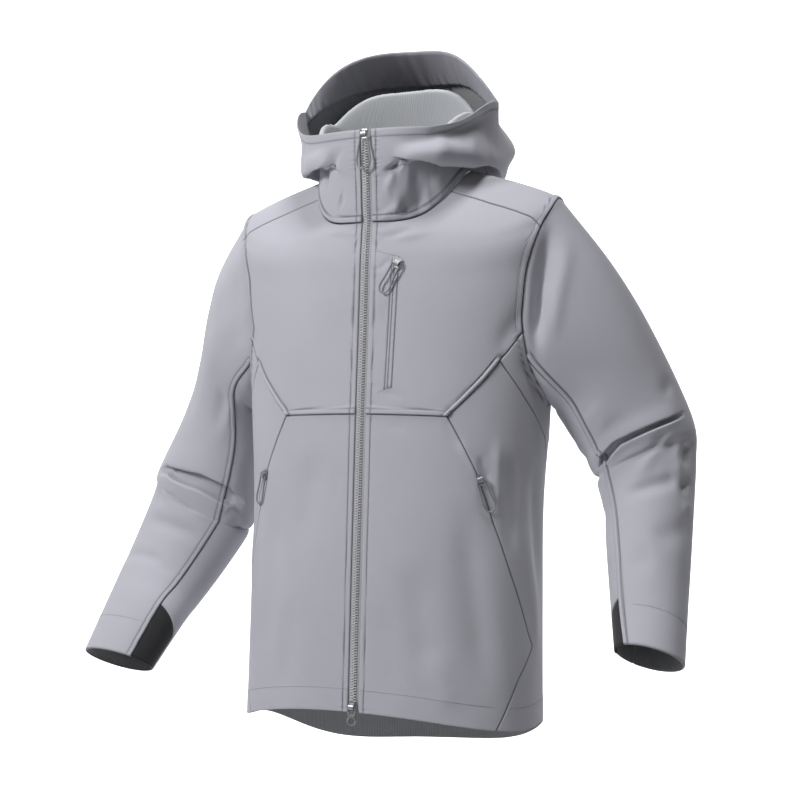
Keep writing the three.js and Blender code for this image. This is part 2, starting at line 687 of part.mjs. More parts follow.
// The insert's top edge slants from the sleeve's front seam down to its back corner.
const insertTop = (turns) =>
  turns.map((turn) => {
    const share = clamp((turn - SLEEVE_SEAM_FRONT) / (INSERT_TURN - SLEEVE_SEAM_FRONT), 0, 1);
    return [turn, SLEEVE_STATIONS.at(-1) + (CUFF_STATIONS[0] - SLEEVE_STATIONS.at(-1)) * share];
  });
const outerGrid = SLEEVE_STATIONS.concat(CUFF_STATIONS).map((at) => sleeveRow(outerTurns, at));
const innerGrid = SLEEVE_STATIONS.map((at) => sleeveRow(at > 0 ? innerTurnsBelow : innerTurns, at));
innerGrid.push(insertTop(innerTurnsBelow));
const tailGrid = CUFF_STATIONS.map((at) => sleeveRow(tailTurns, at));
const insertGrid = [insertTop(insertTurns), ...CUFF_STATIONS.map((at) => sleeveRow(insertTurns, at))];

for (const name of ["left", "right"]) {
  const skin = sleeveWall(name);
  add("sleeve_outer_" + name, wall([outerGrid], skin, curvedSeams), clothFinish());
  add("sleeve_inner_" + name, wall([innerGrid, tailGrid], skin, curvedSeams), clothFinish());
  add("cuff_insert_" + name, wall([insertGrid], skin, curvedSeams), stretchFinish());
}

// Front zip: a tape behind the panels with the row of teeth standing between their edges

const TAPE_HALF = 14;
const TAPE_THICKNESS = 1;
const TEETH_HALF = 3.4;
const TEETH_PROUD = 0.3;
const TAPE_MARGIN = 6;
const HEM_CLEAR = 2;

// The depth of the cloth at a height on the centre front, and how far it has turned back at the tape's edges.
function frontAt(z) {
  const onBody = z <= NECK_FRONT;
  const key = onBody ? BODY_RINGS.front_z : HOOD_RING_NUMBERS;
  const rings = onBody ? BODY_RINGS : HOOD_RINGS;
  const at = onBody ? z : smooth(HOOD_RINGS.front_z, HOOD_RING_NUMBERS, z);
  const ring = ringAt(rings, key, at);
  const turned = ringPoint(ring, angleOf(ring, TAPE_HALF + TAPE_MARGIN)).y - ring.front_y;
  return { y: ring.front_y, turned };
}

function sweep(sections, outline) {
  const count = outline.length;
  const points = sections.flat();
  const faces = [];
  for (let k = 0; k + 1 < sections.length; k += 1)
    for (let i = 0; i < count; i += 1) {
      const next = (i + 1) % count;
      const [a, b, c, d] = [k * count + i, k * count + next, (k + 1) * count + next, (k + 1) * count + i];
      faces.push([a, b, c], [a, c, d]);
    }
  const lid = THREE.ShapeUtils.triangulateShape(outline.map(([x, y]) => new THREE.Vector2(x, y)), []);
  const turned = THREE.ShapeUtils.area(outline.map(([x, y]) => ({ x, y }))) > 0;
  const end = (sections.length - 1) * count;
  for (const [a, b, c] of lid) {
    faces.push(turned ? [c, b, a] : [a, b, c]);
    faces.push(turned ? [a + end, b + end, c + end] : [c + end, b + end, a + end]);
  }
  return geometry(points, faces);
}

const tapeFront = CLOTH + SEAM_GAP;
const zipOutline = [
  [-TAPE_HALF, tapeFront + TAPE_THICKNESS],
  [TAPE_HALF, tapeFront + TAPE_THICKNESS],
  [TAPE_HALF, tapeFront],
  [TEETH_HALF, tapeFront],
  [TEETH_HALF, -TEETH_PROUD],
  [-TEETH_HALF, -TEETH_PROUD],
  [-TEETH_HALF, tapeFront],
  [-TAPE_HALF, tapeFront],
];
const zipHeights = bodyPlacket(HEM_FRONT, CHEST_SEAM, 9)
  .concat(bodyPlacket(CHEST_SEAM, NECK_FRONT, 14).slice(1))
  .map(([, z]) => z)
  .concat(HOOD_STEPS.slice(1).map((at) => smooth(HOOD_RING_NUMBERS, HOOD_RINGS.front_z, at)))
  .filter((z) => z < ZIP_TOP);
zipHeights[0] = HEM_FRONT + HEM_CLEAR;
add(
  "main_zip",
  sweep(
    zipHeights.concat(ZIP_TOP).map((z) => {
      const { y, turned } = frontAt(z);
      const bow = (x) => (Math.abs(x) === TAPE_HALF ? turned : 0);
      return zipOutline.map(([x, back]) => new THREE.Vector3(x, y + back + bow(x), z));
    }),
    zipOutline,
  ),
  metalFinish(),
);

// Chest pocket: the strip over its zip lies on the left chest panel

const POCKET_STRIP_WIDTH = 11;
const POCKET_STRIP_RISE = 1.3;
const STRIP_CLEAR = 0.4;
const CHEST_ZIP = table(["x", "ring"], [[33, 14], [35.5, 98], [38, 182]]);
const STRIP_PARTS = 7;
const chestStrip = Array.from({ length: STRIP_PARTS + 1 }, (_, k) => {
  const ring = CHEST_ZIP.ring[0] + ((CHEST_ZIP.ring[2] - CHEST_ZIP.ring[0]) * k) / STRIP_PARTS;
  const x = smooth(CHEST_ZIP.ring, CHEST_ZIP.x, ring);
  const at = ringAt(BODY_RINGS, BODY_RINGS.front_z, ring);
  return [0, 0.5, 1].map((t) => [angleOf(at, x + t * POCKET_STRIP_WIDTH), ring]);
});
add(
  "chest_pocket_strip",
  wall([chestStrip], bodyWall, { sunk: -STRIP_CLEAR - POCKET_STRIP_RISE, thickness: POCKET_STRIP_RISE }),
  clothFinish(),
);

// Sliders and their pulls. A slider's frame has its origin on the cloth under the eye of the bail,
// x across the zip, y along the hanging pull and z away from the cloth.

const SLIDER_WIDTH = 7;
const EYE_HEIGHT = 4.1;
const EYE_RADIUS = 2;
const PULL_WIRE = 1.2;
const WELD_DISTANCE = 1e-4;
// The plate and the bail of a slider seen from the side: places along the zip, and heights
const PLATE = { start: -7, end: 6, nose: 6.8, shoulder: 5.6, thickness: 1.7, nose_drop: 0.6 };
const BAIL = { plate_back: -6.6, heel: -4.6, bulge: -4.2, chin: 2.6, throat: 3.2, foot: 3.4, crown: 1.1, neck: 0.6 };
const HOLE_SEGMENTS = 5;

function manifoldOf(shape) {
  const bare = shape.clone();
  bare.deleteAttribute("normal");
  bare.deleteAttribute("uv");
  const merged = mergeVertices(bare, WELD_DISTANCE);
  return new wasm.Manifold(
    new wasm.Mesh({
      numProp: 3,
      vertProperties: merged.attributes.position.array,
      triVerts: new Uint32Array(merged.index.array),
    }),
  );
}

function geometryOf(solid) {
  const mesh = solid.getMesh();
  const shape = new THREE.BufferGeometry();
  shape.setAttribute("position", new THREE.BufferAttribute(mesh.vertProperties, 3));
  shape.setIndex(new THREE.BufferAttribute(mesh.triVerts, 1));
  return shape;
}

// The body of a slider seen from the side: a plate along the zip with an eyed bail standing on it.
function sliderShape(clear, lift) {
  const top = clear + PLATE.thickness;
  const eye = lift + EYE_HEIGHT;
  const crown = eye + EYE_RADIUS + BAIL.crown;
  const outline = new THREE.Shape();
  outline.moveTo(PLATE.start, clear);
  outline.lineTo(PLATE.end, clear);
  outline.lineTo(PLATE.nose, top - PLATE.nose_drop);
  outline.lineTo(PLATE.shoulder, top);
  outline.lineTo(BAIL.foot, top);
  outline.lineTo(BAIL.throat, eye + BAIL.neck);
  outline.quadraticCurveTo(BAIL.chin, crown, 0, crown);
  outline.quadraticCurveTo(BAIL.bulge, crown, BAIL.heel, top);
  outline.lineTo(BAIL.plate_back, top);
  const hole = new THREE.Path();
  hole.absarc(0, eye, EYE_RADIUS, 0, Math.PI * 2, true);
  outline.holes.push(hole);
  const extrusion = { depth: SLIDER_WIDTH, bevelEnabled: false, curveSegments: HOLE_SEGMENTS };
  const shape = new THREE.ExtrudeGeometry(outline, extrusion);
  shape.translate(0, 0, -SLIDER_WIDTH / 2);
  return shape.applyMatrix4(new THREE.Matrix4().set(0, 0, 1, 0, 1, 0, 0, 0, 0, 1, 0, 0, 0, 0, 0, 1));
}

// The loop of a pull: its clearances, where it bends over the bail, and where along it the belly and toe are
const LOOP = {
  side_clear: 0.45,
  rest: 0.9,
  bend_in: 1.4,
  bend_end: 1.6,
  shoulder_out: 0.3,
  shoulder_end: 8,
  shoulder_drop: 0.5,
  belly_at: 0.55,
  belly_in: 1,
  belly_rise: 0.6,
  widest_at: 0.78,
  toe_at: 0.95,
  steps: 26,
  sides: 6,
};

// A closed wire loop that passes through the eye and hangs down the cloth, widest near its end.
function loopShape(length, width, wire, lift) {
  const bar = SLIDER_WIDTH / 2 + wire + LOOP.side_clear;
  const eye = lift + EYE_HEIGHT;
  const lie = lift + wire + LOOP.rest;
  const half = [
    [bar - LOOP.bend_in, 0, eye],
    [bar, LOOP.bend_end, eye],
    [bar + LOOP.shoulder_out, LOOP.shoulder_end, Math.max(eye - LOOP.shoulder_drop, lie)],
    [width / 2 - LOOP.belly_in, length * LOOP.belly_at, lie + LOOP.belly_rise],
    [width / 2, length * LOOP.widest_at, lie],
    [width / 3, length * LOOP.toe_at, lie],
    [0, length, lie],
  ];
  const other = half.slice(0, -1).reverse().map(([x, y, z]) => [-x, y, z]);
  const curve = new THREE.CatmullRomCurve3(
    half.concat(other).map((p) => new THREE.Vector3(...p)),
    true,
    "centripetal",
  );
  return ringTube(curve, LOOP.steps, wire, LOOP.sides);
}

function ringTube(curve, steps, radius, sides) {
  const frames = curve.computeFrenetFrames(steps, true);
  const points = [];
  const faces = [];
  for (let k = 0; k < steps; k += 1) {
    const centre = curve.getPointAt(k / steps);
    for (let i = 0; i < sides; i += 1) {
      const t = (2 * Math.PI * i) / sides;
      points.push(
        centre
          .clone()
          .addScaledVector(frames.normals[k], Math.cos(t) * radius)
          .addScaledVector(frames.binormals[k], Math.sin(t) * radius),
      );
      const next = (k + 1) % steps;
      const [a, b] = [k * sides + i, k * sides + ((i + 1) % sides)];
      const [c, d] = [next * sides + ((i + 1) % sides), next * sides + i];
      faces.push([a, b, c], [a, c, d]);
    }
  }
  return geometry(points, faces);
}

const TAB = {
  slot_clear: 0.6,
  frame: 1.5,
  bar: 0.9,
  slot_end: 8,
  neck: 9,
  taper: 0.6,
  ring_radius: 6.2,
  ring_band: 1.7,
  ring_at: 17,
  ring_start: -Math.PI / 3,
  thickness: 1.4,
  segments: 12,
};

// A flat metal tab with a slot for the bail at one end and a ring at the other.
function tabShape(lift) {
  const slot = SLIDER_WIDTH / 2 + TAB.slot_clear;
  const rim = slot + TAB.frame;
  const outline = new THREE.Shape();
  outline.moveTo(-rim, -TAB.bar);
  outline.lineTo(rim, -TAB.bar);
  outline.lineTo(rim - TAB.taper, TAB.neck);
  outline.absarc(0, TAB.ring_at, TAB.ring_radius, TAB.ring_start, Math.PI - TAB.ring_start, false);
  outline.lineTo(TAB.taper - rim, TAB.neck);
  const opening = new THREE.Path([
    new THREE.Vector2(-slot, TAB.bar),
    new THREE.Vector2(-slot, TAB.slot_end),
    new THREE.Vector2(slot, TAB.slot_end),
    new THREE.Vector2(slot, TAB.bar),
  ]);
  const ring = new THREE.Path();
  ring.absarc(0, TAB.ring_at, TAB.ring_radius - TAB.ring_band, 0, Math.PI * 2, true);
  outline.holes.push(opening, ring);
  const extrusion = { depth: TAB.thickness, bevelEnabled: false, curveSegments: TAB.segments };
  return new THREE.ExtrudeGeometry(outline, extrusion).translate(0, 0, lift + EYE_HEIGHT - TAB.thickness / 2);
}

// The frame of a slider on the body or hood: its place and where its pull points.
function frameOn(skin, at, towards) {
  const origin = skin.point(...at);
  const normal = skin.normal(...at);
  const hang = skin.point(...towards).sub(origin);
  hang.addScaledVector(normal, -hang.dot(normal)).normalize();
  const across = hang.clone().cross(normal);
  return new THREE.Matrix4().makeBasis(across, hang, normal).setPosition(origin);
}

const PULL_LENGTH = 45;
const SMALL_PULL_LENGTH = 42;
const MAIN_PULL_WIDTH = 19;
const MAIN_PULL_WIRE = 1.3;
const CHEST_PULL_WIDTH = 14;
const HAND_PULL_WIDTH = 15;
const CLOTH_CLEAR = 0.6;
// A frame's two places are an angle and a ring: the slider's own, and one that its pull hangs towards.
const fittings = [
  {
    name: "main",
    frame: frameOn(hoodWall, [0, 6.55], [0, 4]),
    clear: TEETH_PROUD + SEAM_GAP,
    lift: 0,
    pull: (lift) => loopShape(PULL_LENGTH, MAIN_PULL_WIDTH, MAIN_PULL_WIRE, lift),
  },
  {
    name: "lower",
    frame: frameOn(bodyWall, [0, HEM_FRONT + 7], [0, HEM_FRONT]),
    clear: TEETH_PROUD + SEAM_GAP,
    lift: 0,
    pull: tabShape,
  },
  {
    name: "chest",
    frame: frameOn(bodyWall, [9.6, 173], [4.6, 136]),
    clear: STRIP_CLEAR + POCKET_STRIP_RISE + SEAM_GAP,
    lift: STRIP_CLEAR + POCKET_STRIP_RISE,
    pull: (lift) => loopShape(SMALL_PULL_LENGTH, CHEST_PULL_WIDTH, PULL_WIRE, lift),
  },
  {
    name: "hand_left",
    frame: frameOn(bodyWall, [46, -100], [52.5, -139]),
    clear: CLOTH_CLEAR,
    lift: 0,
    pull: (lift) => loopShape(SMALL_PULL_LENGTH, HAND_PULL_WIDTH, PULL_WIRE, lift),
  },
  {
    name: "hand_right",
    frame: frameOn(bodyWall, [-46, -100], [-52.5, -137]),
    clear: CLOTH_CLEAR,
    lift: 0,
    pull: (lift) => loopShape(SMALL_PULL_LENGTH, HAND_PULL_WIDTH, PULL_WIRE, lift),
  },
];
for (const fitting of fittings) {
  const slider = geometryOf(manifoldOf(sliderShape(fitting.clear, fitting.lift)));
  add(fitting.name + "_slider", slider.applyMatrix4(fitting.frame), metalFinish());
  add(fitting.name + "_pull", fitting.pull(fitting.lift).applyMatrix4(fitting.frame), metalFinish());
}

// The nape rests on the inside of the knit lining at the centre back.
const NAPE_RING = 0.7;
const nape = hood.point(180, NAPE_RING).addScaledVector(hood.normal(180, NAPE_RING), -(CLOTH + LAYER_GAP + KNIT));
jacket.position.copy(nape).negate();

export default jacket;
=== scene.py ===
"""A hooded softshell jacket in its worn shape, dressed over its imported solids.

Every cloth piece is a thin shell over one of the three surfaces that its solid was made from: the body, the
hood and a sleeve. Those surfaces are worked out here again in millimetres, and finer: with rolled seams,
topstitching, puckers and creases. place() turns millimetres into the frame's metres.
"""

import math

import bpy
import numpy as np
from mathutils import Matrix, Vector
from mathutils.bvhtree import BVHTree


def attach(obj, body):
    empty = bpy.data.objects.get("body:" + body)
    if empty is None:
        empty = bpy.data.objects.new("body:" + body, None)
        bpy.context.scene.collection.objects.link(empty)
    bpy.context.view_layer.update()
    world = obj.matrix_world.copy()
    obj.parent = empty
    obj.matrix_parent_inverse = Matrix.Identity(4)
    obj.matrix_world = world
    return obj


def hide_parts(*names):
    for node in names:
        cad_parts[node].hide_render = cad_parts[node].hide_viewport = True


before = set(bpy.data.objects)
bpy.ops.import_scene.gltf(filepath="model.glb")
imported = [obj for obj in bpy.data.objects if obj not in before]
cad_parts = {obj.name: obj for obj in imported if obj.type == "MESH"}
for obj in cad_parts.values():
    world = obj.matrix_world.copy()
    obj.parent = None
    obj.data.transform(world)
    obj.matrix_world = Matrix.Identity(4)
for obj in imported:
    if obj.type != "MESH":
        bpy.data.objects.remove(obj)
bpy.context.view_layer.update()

# Camera, at the photograph's angle

VIEW_AZIMUTH = math.radians(24)
CAMERA_AWAY = 1.9
CAMERA_RIGHT = 0.004
CAMERA_HEIGHT = -0.3494
CAMERA_LENS = 63.36
CAMERA_REACH = 50
AXIS_Y = -0.0594


def from_camera(right, back, up):
    """A place given across, towards the camera and up from the jacket's middle."""
    across = Vector((math.cos(VIEW_AZIMUTH), math.sin(VIEW_AZIMUTH), 0))
    toward = Vector((math.sin(VIEW_AZIMUTH), -math.cos(VIEW_AZIMUTH), 0))
    return Vector((0, AXIS_Y, CAMERA_HEIGHT)) + across * right + toward * back + Vector((0, 0, up))


def add_camera():
    camera = bpy.data.objects.new("camera", bpy.data.cameras.new("camera"))
    camera.data.lens = CAMERA_LENS
    camera.data.clip_end = CAMERA_REACH
    camera.location = from_camera(CAMERA_RIGHT, CAMERA_AWAY, 0)
    camera.rotation_euler = (math.radians(90), 0, VIEW_AZIMUTH)
    bpy.context.scene.collection.objects.link(camera)
    bpy.context.scene.camera = camera


add_camera()

# Driving sizes, in millimetres, as in the part's source

NAPE = np.array([0, 59.385, 349.363])
CLOTH = 1.6
KNIT = 1.4
FACING = 1.0
LAYER_GAP = 0.5
HEM_FRONT = -394
NECK_FRONT = 229
CHEST_SEAM = -18
RIM = 7
PLACKET_EDGE = 6.8
ZIP_TOP = 338
CUFF = 9
BODY_CLEARANCE = 2.5
CELL = 4.5

# Rings of the body and the hood: width, front_y, side_y, back_y, front_z, side_z, back_z, square, rise,
# rise_back, sweep, tilt
WIDTH, FRONT_Y, SIDE_Y, BACK_Y, FRONT_Z, SQUARE = 0, 1, 2, 3, 4, 7
BODY_RINGS = np.array([
    [206, -137, -22, 122, HEM_FRONT, -424, -481, 2.2, 2.0, 4.0, 1, 20],
    [204, -130, -14, 121, -260, -270, -300, 2.2, 2.0, 3.0, 1, 8],
    [203, -122, -6, 123, -130, -130, -140, 2.25, 2.0, 2.2, 1, 0],
    [211, -114, 3, 131, 0, -4, 4, 2.3, 2.5, 2.2, 1, 0],
    [215, -108, 8, 136, 80, 78, 92, 2.4, 3.5, 2.2, 1, 0],
    [227, -103, 10, 131, 150, 173, 178, 2.3, 4.0, 2.2, 1, 0],
    [236, -100, 10, 118, 190, 236, 228, 2.1, 4.0, 2.2, 1, 0],
    [225, -98, 9, 107, 204, 261, 254, 2.0, 4.5, 2.2, 1, 0],
    [178, -97, 7, 94, 216, 281, 283, 2.0, 4.5, 2.2, 1, 0],
    [108, -95, 2, 74, NECK_FRONT, 302, 315, 2.0, 4.5, 2.2, 1, 0],
])
HOOD_RINGS = np.array([
    [108, -95, 2, 74, NECK_FRONT, 302, 315, 2.0, 4.5, 2.2, 1, 0],
    [105, -97, 4, 58, 252, 338, 366, 2.1, 3.0, 2.4, 1, 0],
    [103, -98, 14, 43, 275, 378, 421, 2.2, 2.0, 3.5, 1, 0],
    [113, -99, 17, 66, 290, 346, 378, 2.2, 2.0, 2.4, 1, 0],
    [132, -100, 20, 119, 303, 308, 282, 2.2, 2.4, 2.2, 1, 0],
    [139, -101, 18, 174, 318, 320, 290, 2.15, 3.0, 2.2, 1, 0],
    [140, -101, 16, 190, 333, 357, 388, 2.1, 4.0, 2.2, 1.2, 0],
    [143, -100, 7, 60, 348, 396, 484, 2.2, 7.0, 2.4, 7, -9],
])
HOOD_KEY = np.arange(len(HOOD_RINGS))
# Each table with its key, the number that gives a place along the surface
BODY_TABLE = (BODY_RINGS[:, FRONT_Z], BODY_RINGS)
HOOD_TABLE = (HOOD_KEY, HOOD_RINGS)

# Sections of the sleeves: outer_x, outer_z, inner_x, inner_z, middle_y, half_depth
SLEEVES = {
    "left": np.array([
        [250, 234, 196, 16, 18, 60],
        [299, 166, 206, -5, 28, 61],
        [335, 96, 219, -28, 42, 60],
        [367, 26, 240, -66, 54, 57],
        [389, -32, 257, -96, 58, 55],
        [391, -72, 266, -116, 54, 52],
        [392, -129, 279, -152, 38, 49],
        [395, -199, 289, -200, 10, 45],
        [398, -259, 303, -262, -22, 41],
        [403, -318, 316, -307, -57, 36],
    ]),
    "right": np.array([
        [-250, 244, -203, 16, 14, 60],
        [-287, 180, -221, -8, 20, 61],
        [-306, 88, -222, -34, 28, 60],
        [-345, -7, -227, -89, 36, 57],
        [-400, -102, -248, -177, 40, 55],
        [-406, -135, -258, -198, 36, 52],
        [-426, -199, -289, -248, 20, 49],
        [-436, -248, -309, -286, -6, 45],
        [-443, -300, -317, -309, -36, 41],
        [-452, -362, -343, -373, -76, 36],
    ]),
}
STATIONS = np.arange(CUFF + 1)

# The armhole on the body: turn, angle, ring
ARMHOLE = np.array([
    [-30, 112, 194], [0, 92, 203.5], [30, 70, 195], [50, 61.5, 178], [70, 60.3, 150], [90, 60.8, 118],
    [110, 63.2, 86], [130, 68.5, 56], [150, 76.5, 30], [180, 92, 5], [210, 104, 24], [230, 111, 50],
    [250, 116.5, 82], [270, 119.5, 116], [290, 120, 148], [310, 118.5, 176], [330, 112, 194],
    [360, 92, 203.5], [390, 70, 195],
])

# Folds: from_angle, from_along, to_angle, to_along, half_width, depth. A negative depth is a ridge.
BODY_FOLDS = [
    (38, -120, 52, -370, 26, 5), (20, -190, 26, -360, 20, 3), (-34, -110, -46, -340, 26, 4),
    (-16, -60, -22, -200, 18, 2.5), (80, -60, 92, -250, 22, 4), (-84, -50, -96, -240, 22, 4),
    (150, 120, 168, -160, 28, 5), (-152, 130, -166, -120, 28, 5), (140, -120, 176, -250, 24, 4),
    (-138, -160, -178, -300, 24, 4),
]
HOOD_FOLDS = [
    (15, 3.6, 46, 3.5, 9, 5), (14, 4.9, 50, 4.7, 13, -5), (-22, 3.7, -52, 3.6, 8, 4),
    (-20, 5.0, -52, 4.8, 13, -4), (28, 1.7, 56, 0.9, 15, 5), (16, 5.5, 44, 5.3, 11, 3),
    (-16, 5.8, -29, 2.0, 7, 4), (158, 5.9, 166, 4.6, 12, 4), (-150, 5.9, -160, 4.6, 12, 4),
]
SLEEVE_FOLDS = {
    "left": [
        (30, 0.35, 125, 0.5, 10, 6), (-8, 4.5, 132, 4.5, 16, 3), (128, 4.5, 240, 4.5, 16, 6),
        (20, 5.6, 110, 5.9, 10, 4), (150, 3.2, 230, 3.7, 12, 4), (0, 6.4, 80, 6.9, 12, 3),
    ],
    "right": [
        (40, 0.4, 110, 0.6, 10, 3), (-8, 4.5, 132, 4.5, 16, 3), (128, 4.5, 240, 4.5, 16, 6),
        (30, 5.7, 130, 5.5, 10, 4), (140, 3.0, 230, 3.6, 12, 4), (10, 6.8, 100, 6.5, 12, 3),
    ],
}
BODY_SCALE = (3.7, 1)
HOOD_SCALE = (2.1, 17)
SLEEVE_SCALE = (1, 60)
# Which way down the cloth runs along each surface's second number
DOWNWARD = {BODY_SCALE: -1, HOOD_SCALE: -1, SLEEVE_SCALE: 1}

# Finer creases, in the same columns
BODY_CREASES = [
    (5, 205, 22, 221, 3.5, 1.6), (10, 204, 25, 214, 4, -1.2), (3.4, 164, 8, 185, 3, 1.2),
    (-6, 206, -17, 216, 4, 1.0), (6, 12, 13, 3, 4, 0.8), (8, -30, 15, -38, 4, 0.8),
    (34, -46, 47, -100, 9, -2.2), (44, -66, 52, -108, 7, 2.4), (62, -60, 66, -200, 16, 4.5),
    (53, -40, 57, -150, 10, -3.0), (74, -150, 92, -330, 20, -3.0), (8, -250, 14, -384, 18, 2.0),
    (28, -300, 36, -388, 20, -2.0), (-24, -240, -30, -384, 20, 2.0), (-60, -60, -64, -190, 16, 3.5),
    (-74, -160, -90, -330, 20, -3.0), (64, 120, 48, 60, 14, 2.5), (62, 60, 78, 10, 9, 3.0),
    (-64, 118, -50, 66, 14, 2.5), (98, 4, 122, -50, 12, 4.0), (104, -30, 130, -92, 12, -3.0),
    (-98, 2, -124, -58, 12, 4.0), (-106, -34, -132, -88, 12, -3.0), (128, 96, 150, 24, 14, 4.0),
    (-126, 90, -146, 30, 14, 4.0), (150, 150, 176, 140, 10, 2.0), (-144, 148, -172, 136, 10, 2.0),
    (160, -60, 200, -80, 16, 3.0), (134, -210, 170, -260, 16, -3.0), (-128, -230, -166, -290, 15, -3.0),
    (120, -340, 150, -376, 14, 2.5), (-118, -330, -154, -372, 14, 2.5),
]
HOOD_CREASES = [
    (12, 3.9, 27, 2.4, 9, 10.0), (15, 3.75, 36, 3.3, 9, 4.0), (20, 5.05, 80, 4.85, 12, -8.0),
    (30, 6.3, 84, 6.4, 9, 6.0), (20, 0.6, 46, 0.35, 8, 7.0), (9, 0.25, 27, 0.8, 4, -2.0),
    (12, 1.4, 20, 2.2, 7, -2.5), (-19, 0.9, -22, 1.3, 7, 2.6), (-12, 5.9, -31, 1.5, 5, 2.6),
    (-22, 5.2, -36, 2.4, 6, -3.0), (-38, 2.2, -42, 1.0, 6, 5.0), (40, 5.7, 64, 5.4, 6, 2.0),
    (66, 5.9, 96, 5.2, 6, 2.2), (-60, 6.1, -92, 5.3, 6, 2.2), (112, 5.8, 134, 5.0, 9, 3.0),
    (-110, 5.7, -136, 5.1, 9, 3.0), (168, 5.4, 196, 5.2, 10, -3.0), (146, 5.0, 168, 4.7, 8, 3.0),
    (-144, 5.1, -170, 4.8, 8, 3.0), (140, 2.6, 176, 2.5, 7, 2.5), (-138, 2.5, -172, 2.6, 7, 2.5),
]
SLEEVE_CREASES = {
    "left": [
        (26, 0.14, 108, 0.5, 7, 9.0), (22, 0.42, 100, 0.86, 6, -3.5), (51, 3.72, 71, 4.5, 8, 3.5),
        (46, 3.9, 45, 5.1, 6, 2.5), (16, 4.5, 26, 5.4, 9, 6.0), (60, 4.3, 84, 5.6, 9, -2.5),
        (34, 4.9, 38, 6.0, 7, -2.5), (10, 5.6, 34, 5.9, 6, 5.0), (6, 6.1, 30, 6.2, 5, -2.5),
        (100, 3.0, 112, 2.2, 12, -3.0), (14, 2.9, 40, 3.1, 8, 2.5), (150, 1.0, 200, 1.4, 14, 3.5),
        (160, 2.6, 236, 3.0, 10, 3.0), (180, 4.0, 250, 4.3, 12, 5.0), (240, 3.6, 300, 4.2, 12, 4.5),
        (250, 4.5, 320, 4.7, 10, -3.5), (246, 0.6, 320, 1.0, 14, 4.0), (254, 1.5, 330, 2.0, 14, -3.0),
        (230, 5.6, 300, 6.1, 12, 3.0), (150, 6.0, 220, 6.3, 10, 2.5), (70, 7.2, 110, 7.4, 12, 1.8),
    ],
    "right": [
        (119, 1.58, 100, 2.92, 9, 4.0), (132, 1.5, 100, 3.1, 8, -2.5), (84, 1.0, 70, 3.0, 14, -2.5),
        (148, 3.83, 169, 4.97, 8, 4.0), (60, 4.2, 84, 4.5, 6, 2.0), (100, 4.2, 112, 5.2, 9, -2.0),
        (36, 4.4, 60, 5.4, 9, 2.5), (30, 1.0, 70, 1.5, 12, 2.5), (20, 2.6, 64, 2.9, 10, 2.0),
        (150, 1.0, 200, 1.4, 14, 3.5), (160, 2.6, 236, 3.0, 10, 3.0), (186, 4.1, 250, 4.3, 12, 5.0),
        (240, 3.5, 304, 4.1, 12, 4.5), (250, 4.5, 320, 4.8, 10, -3.5), (246, 0.7, 320, 1.1, 14, 4.0),
        (254, 1.6, 326, 2.0, 14, -3.0), (230, 5.5, 296, 6.0, 12, 3.0), (70, 6.4, 120, 6.9, 12, 2.0),
    ],
}

# Folds with an overhanging edge. Each is a line of (angle, along, gap) points along the edge, where gap is
# the width of the recess under it, then the height of the edge, the recess's depth, the height of the cloth
# that comes out again beyond it, and how far the edge laps over.
HOOD_LIPS = [
    (((13, 4.6, 20), (26, 4.4, 18), (42, 4.2, 15), (60, 4.1, 12), (84, 4.3, 7)), 4.0, 6.0, 2.0, 3.5),
    (((-25, 4.3, 10), (-36, 4.25, 13), (-56, 4.1, 12), (-84, 4.3, 6)), 3.5, 6.0, 1.5, 3.0),
]
SLEEVE_LIPS = {
    "left": [
        (((140, 4.05, 12), (128, 3.5, 19), (103, 3.3, 15), (74, 3.4, 13), (46, 3.5, 11), (14, 3.6, 8)),
         3.0, 9.0, 3.0, 4.0),
    ],
    "right": [
        (((28, 3.95, 7), (50, 3.68, 10), (60, 3.62, 14), (81, 3.52, 16), (98, 3.44, 17), (113, 3.43, 18),
          (132, 3.43, 19), (147, 3.5, 16), (168, 3.75, 12)), 3.0, 9.0, 3.0, 4.0),
    ],
}


def smooth(xs, ys, x):
    """The smooth curves through the rows ys at xs, at each x."""
    xs, ys, x = np.asarray(xs, float), np.asarray(ys, float), np.asarray(x, float)
    x = np.clip(x, xs[0], xs[-1])
    gap = np.diff(xs)
    wide = (slice(None),) + (None,) * (ys.ndim - 1)
    slope = np.diff(ys, axis=0) / gap[wide]
    inner = (slope[:-1] * gap[1:][wide] + slope[1:] * gap[:-1][wide]) / (gap[1:] + gap[:-1])[wide]
    tangent = np.concatenate([slope[:1], inner, slope[-1:]])
    i = np.clip(np.searchsorted(xs, x, side="right") - 1, 0, len(xs) - 2)
    h = gap[i]
    t = (x - xs[i]) / h
    if ys.ndim > 1:
        h, t = h[..., None], t[..., None]
    return (
        (1 + 2 * t) * (1 - t) ** 2 * ys[i]
        + t * (1 - t) ** 2 * h * tangent[i]
        + t * t * (3 - 2 * t) * ys[i + 1]
        + t * t * (t - 1) * h * tangent[i + 1]
    )


def interpolate(x, xs, rows):
    """The straight lines through the rows at xs, at each x."""
    return np.stack([np.interp(x, xs, column) for column in rows.T], -1)


def smoothstep(t):
    t = np.clip(t, 0, 1)
    return t * t * (3 - 2 * t)


def tapered(share, end):
    """One along the middle of a line, and falling to nothing at its two ends."""
    return smoothstep(share / end) * smoothstep((1 - share) / end)


def bell(distance, width):
    return np.exp(-((distance / width) ** 2))


def near_angle(angle, middle):
    """The angle, less the whole turns that part it from the middle."""
    return angle - 360 * np.round((angle - middle) / 360)


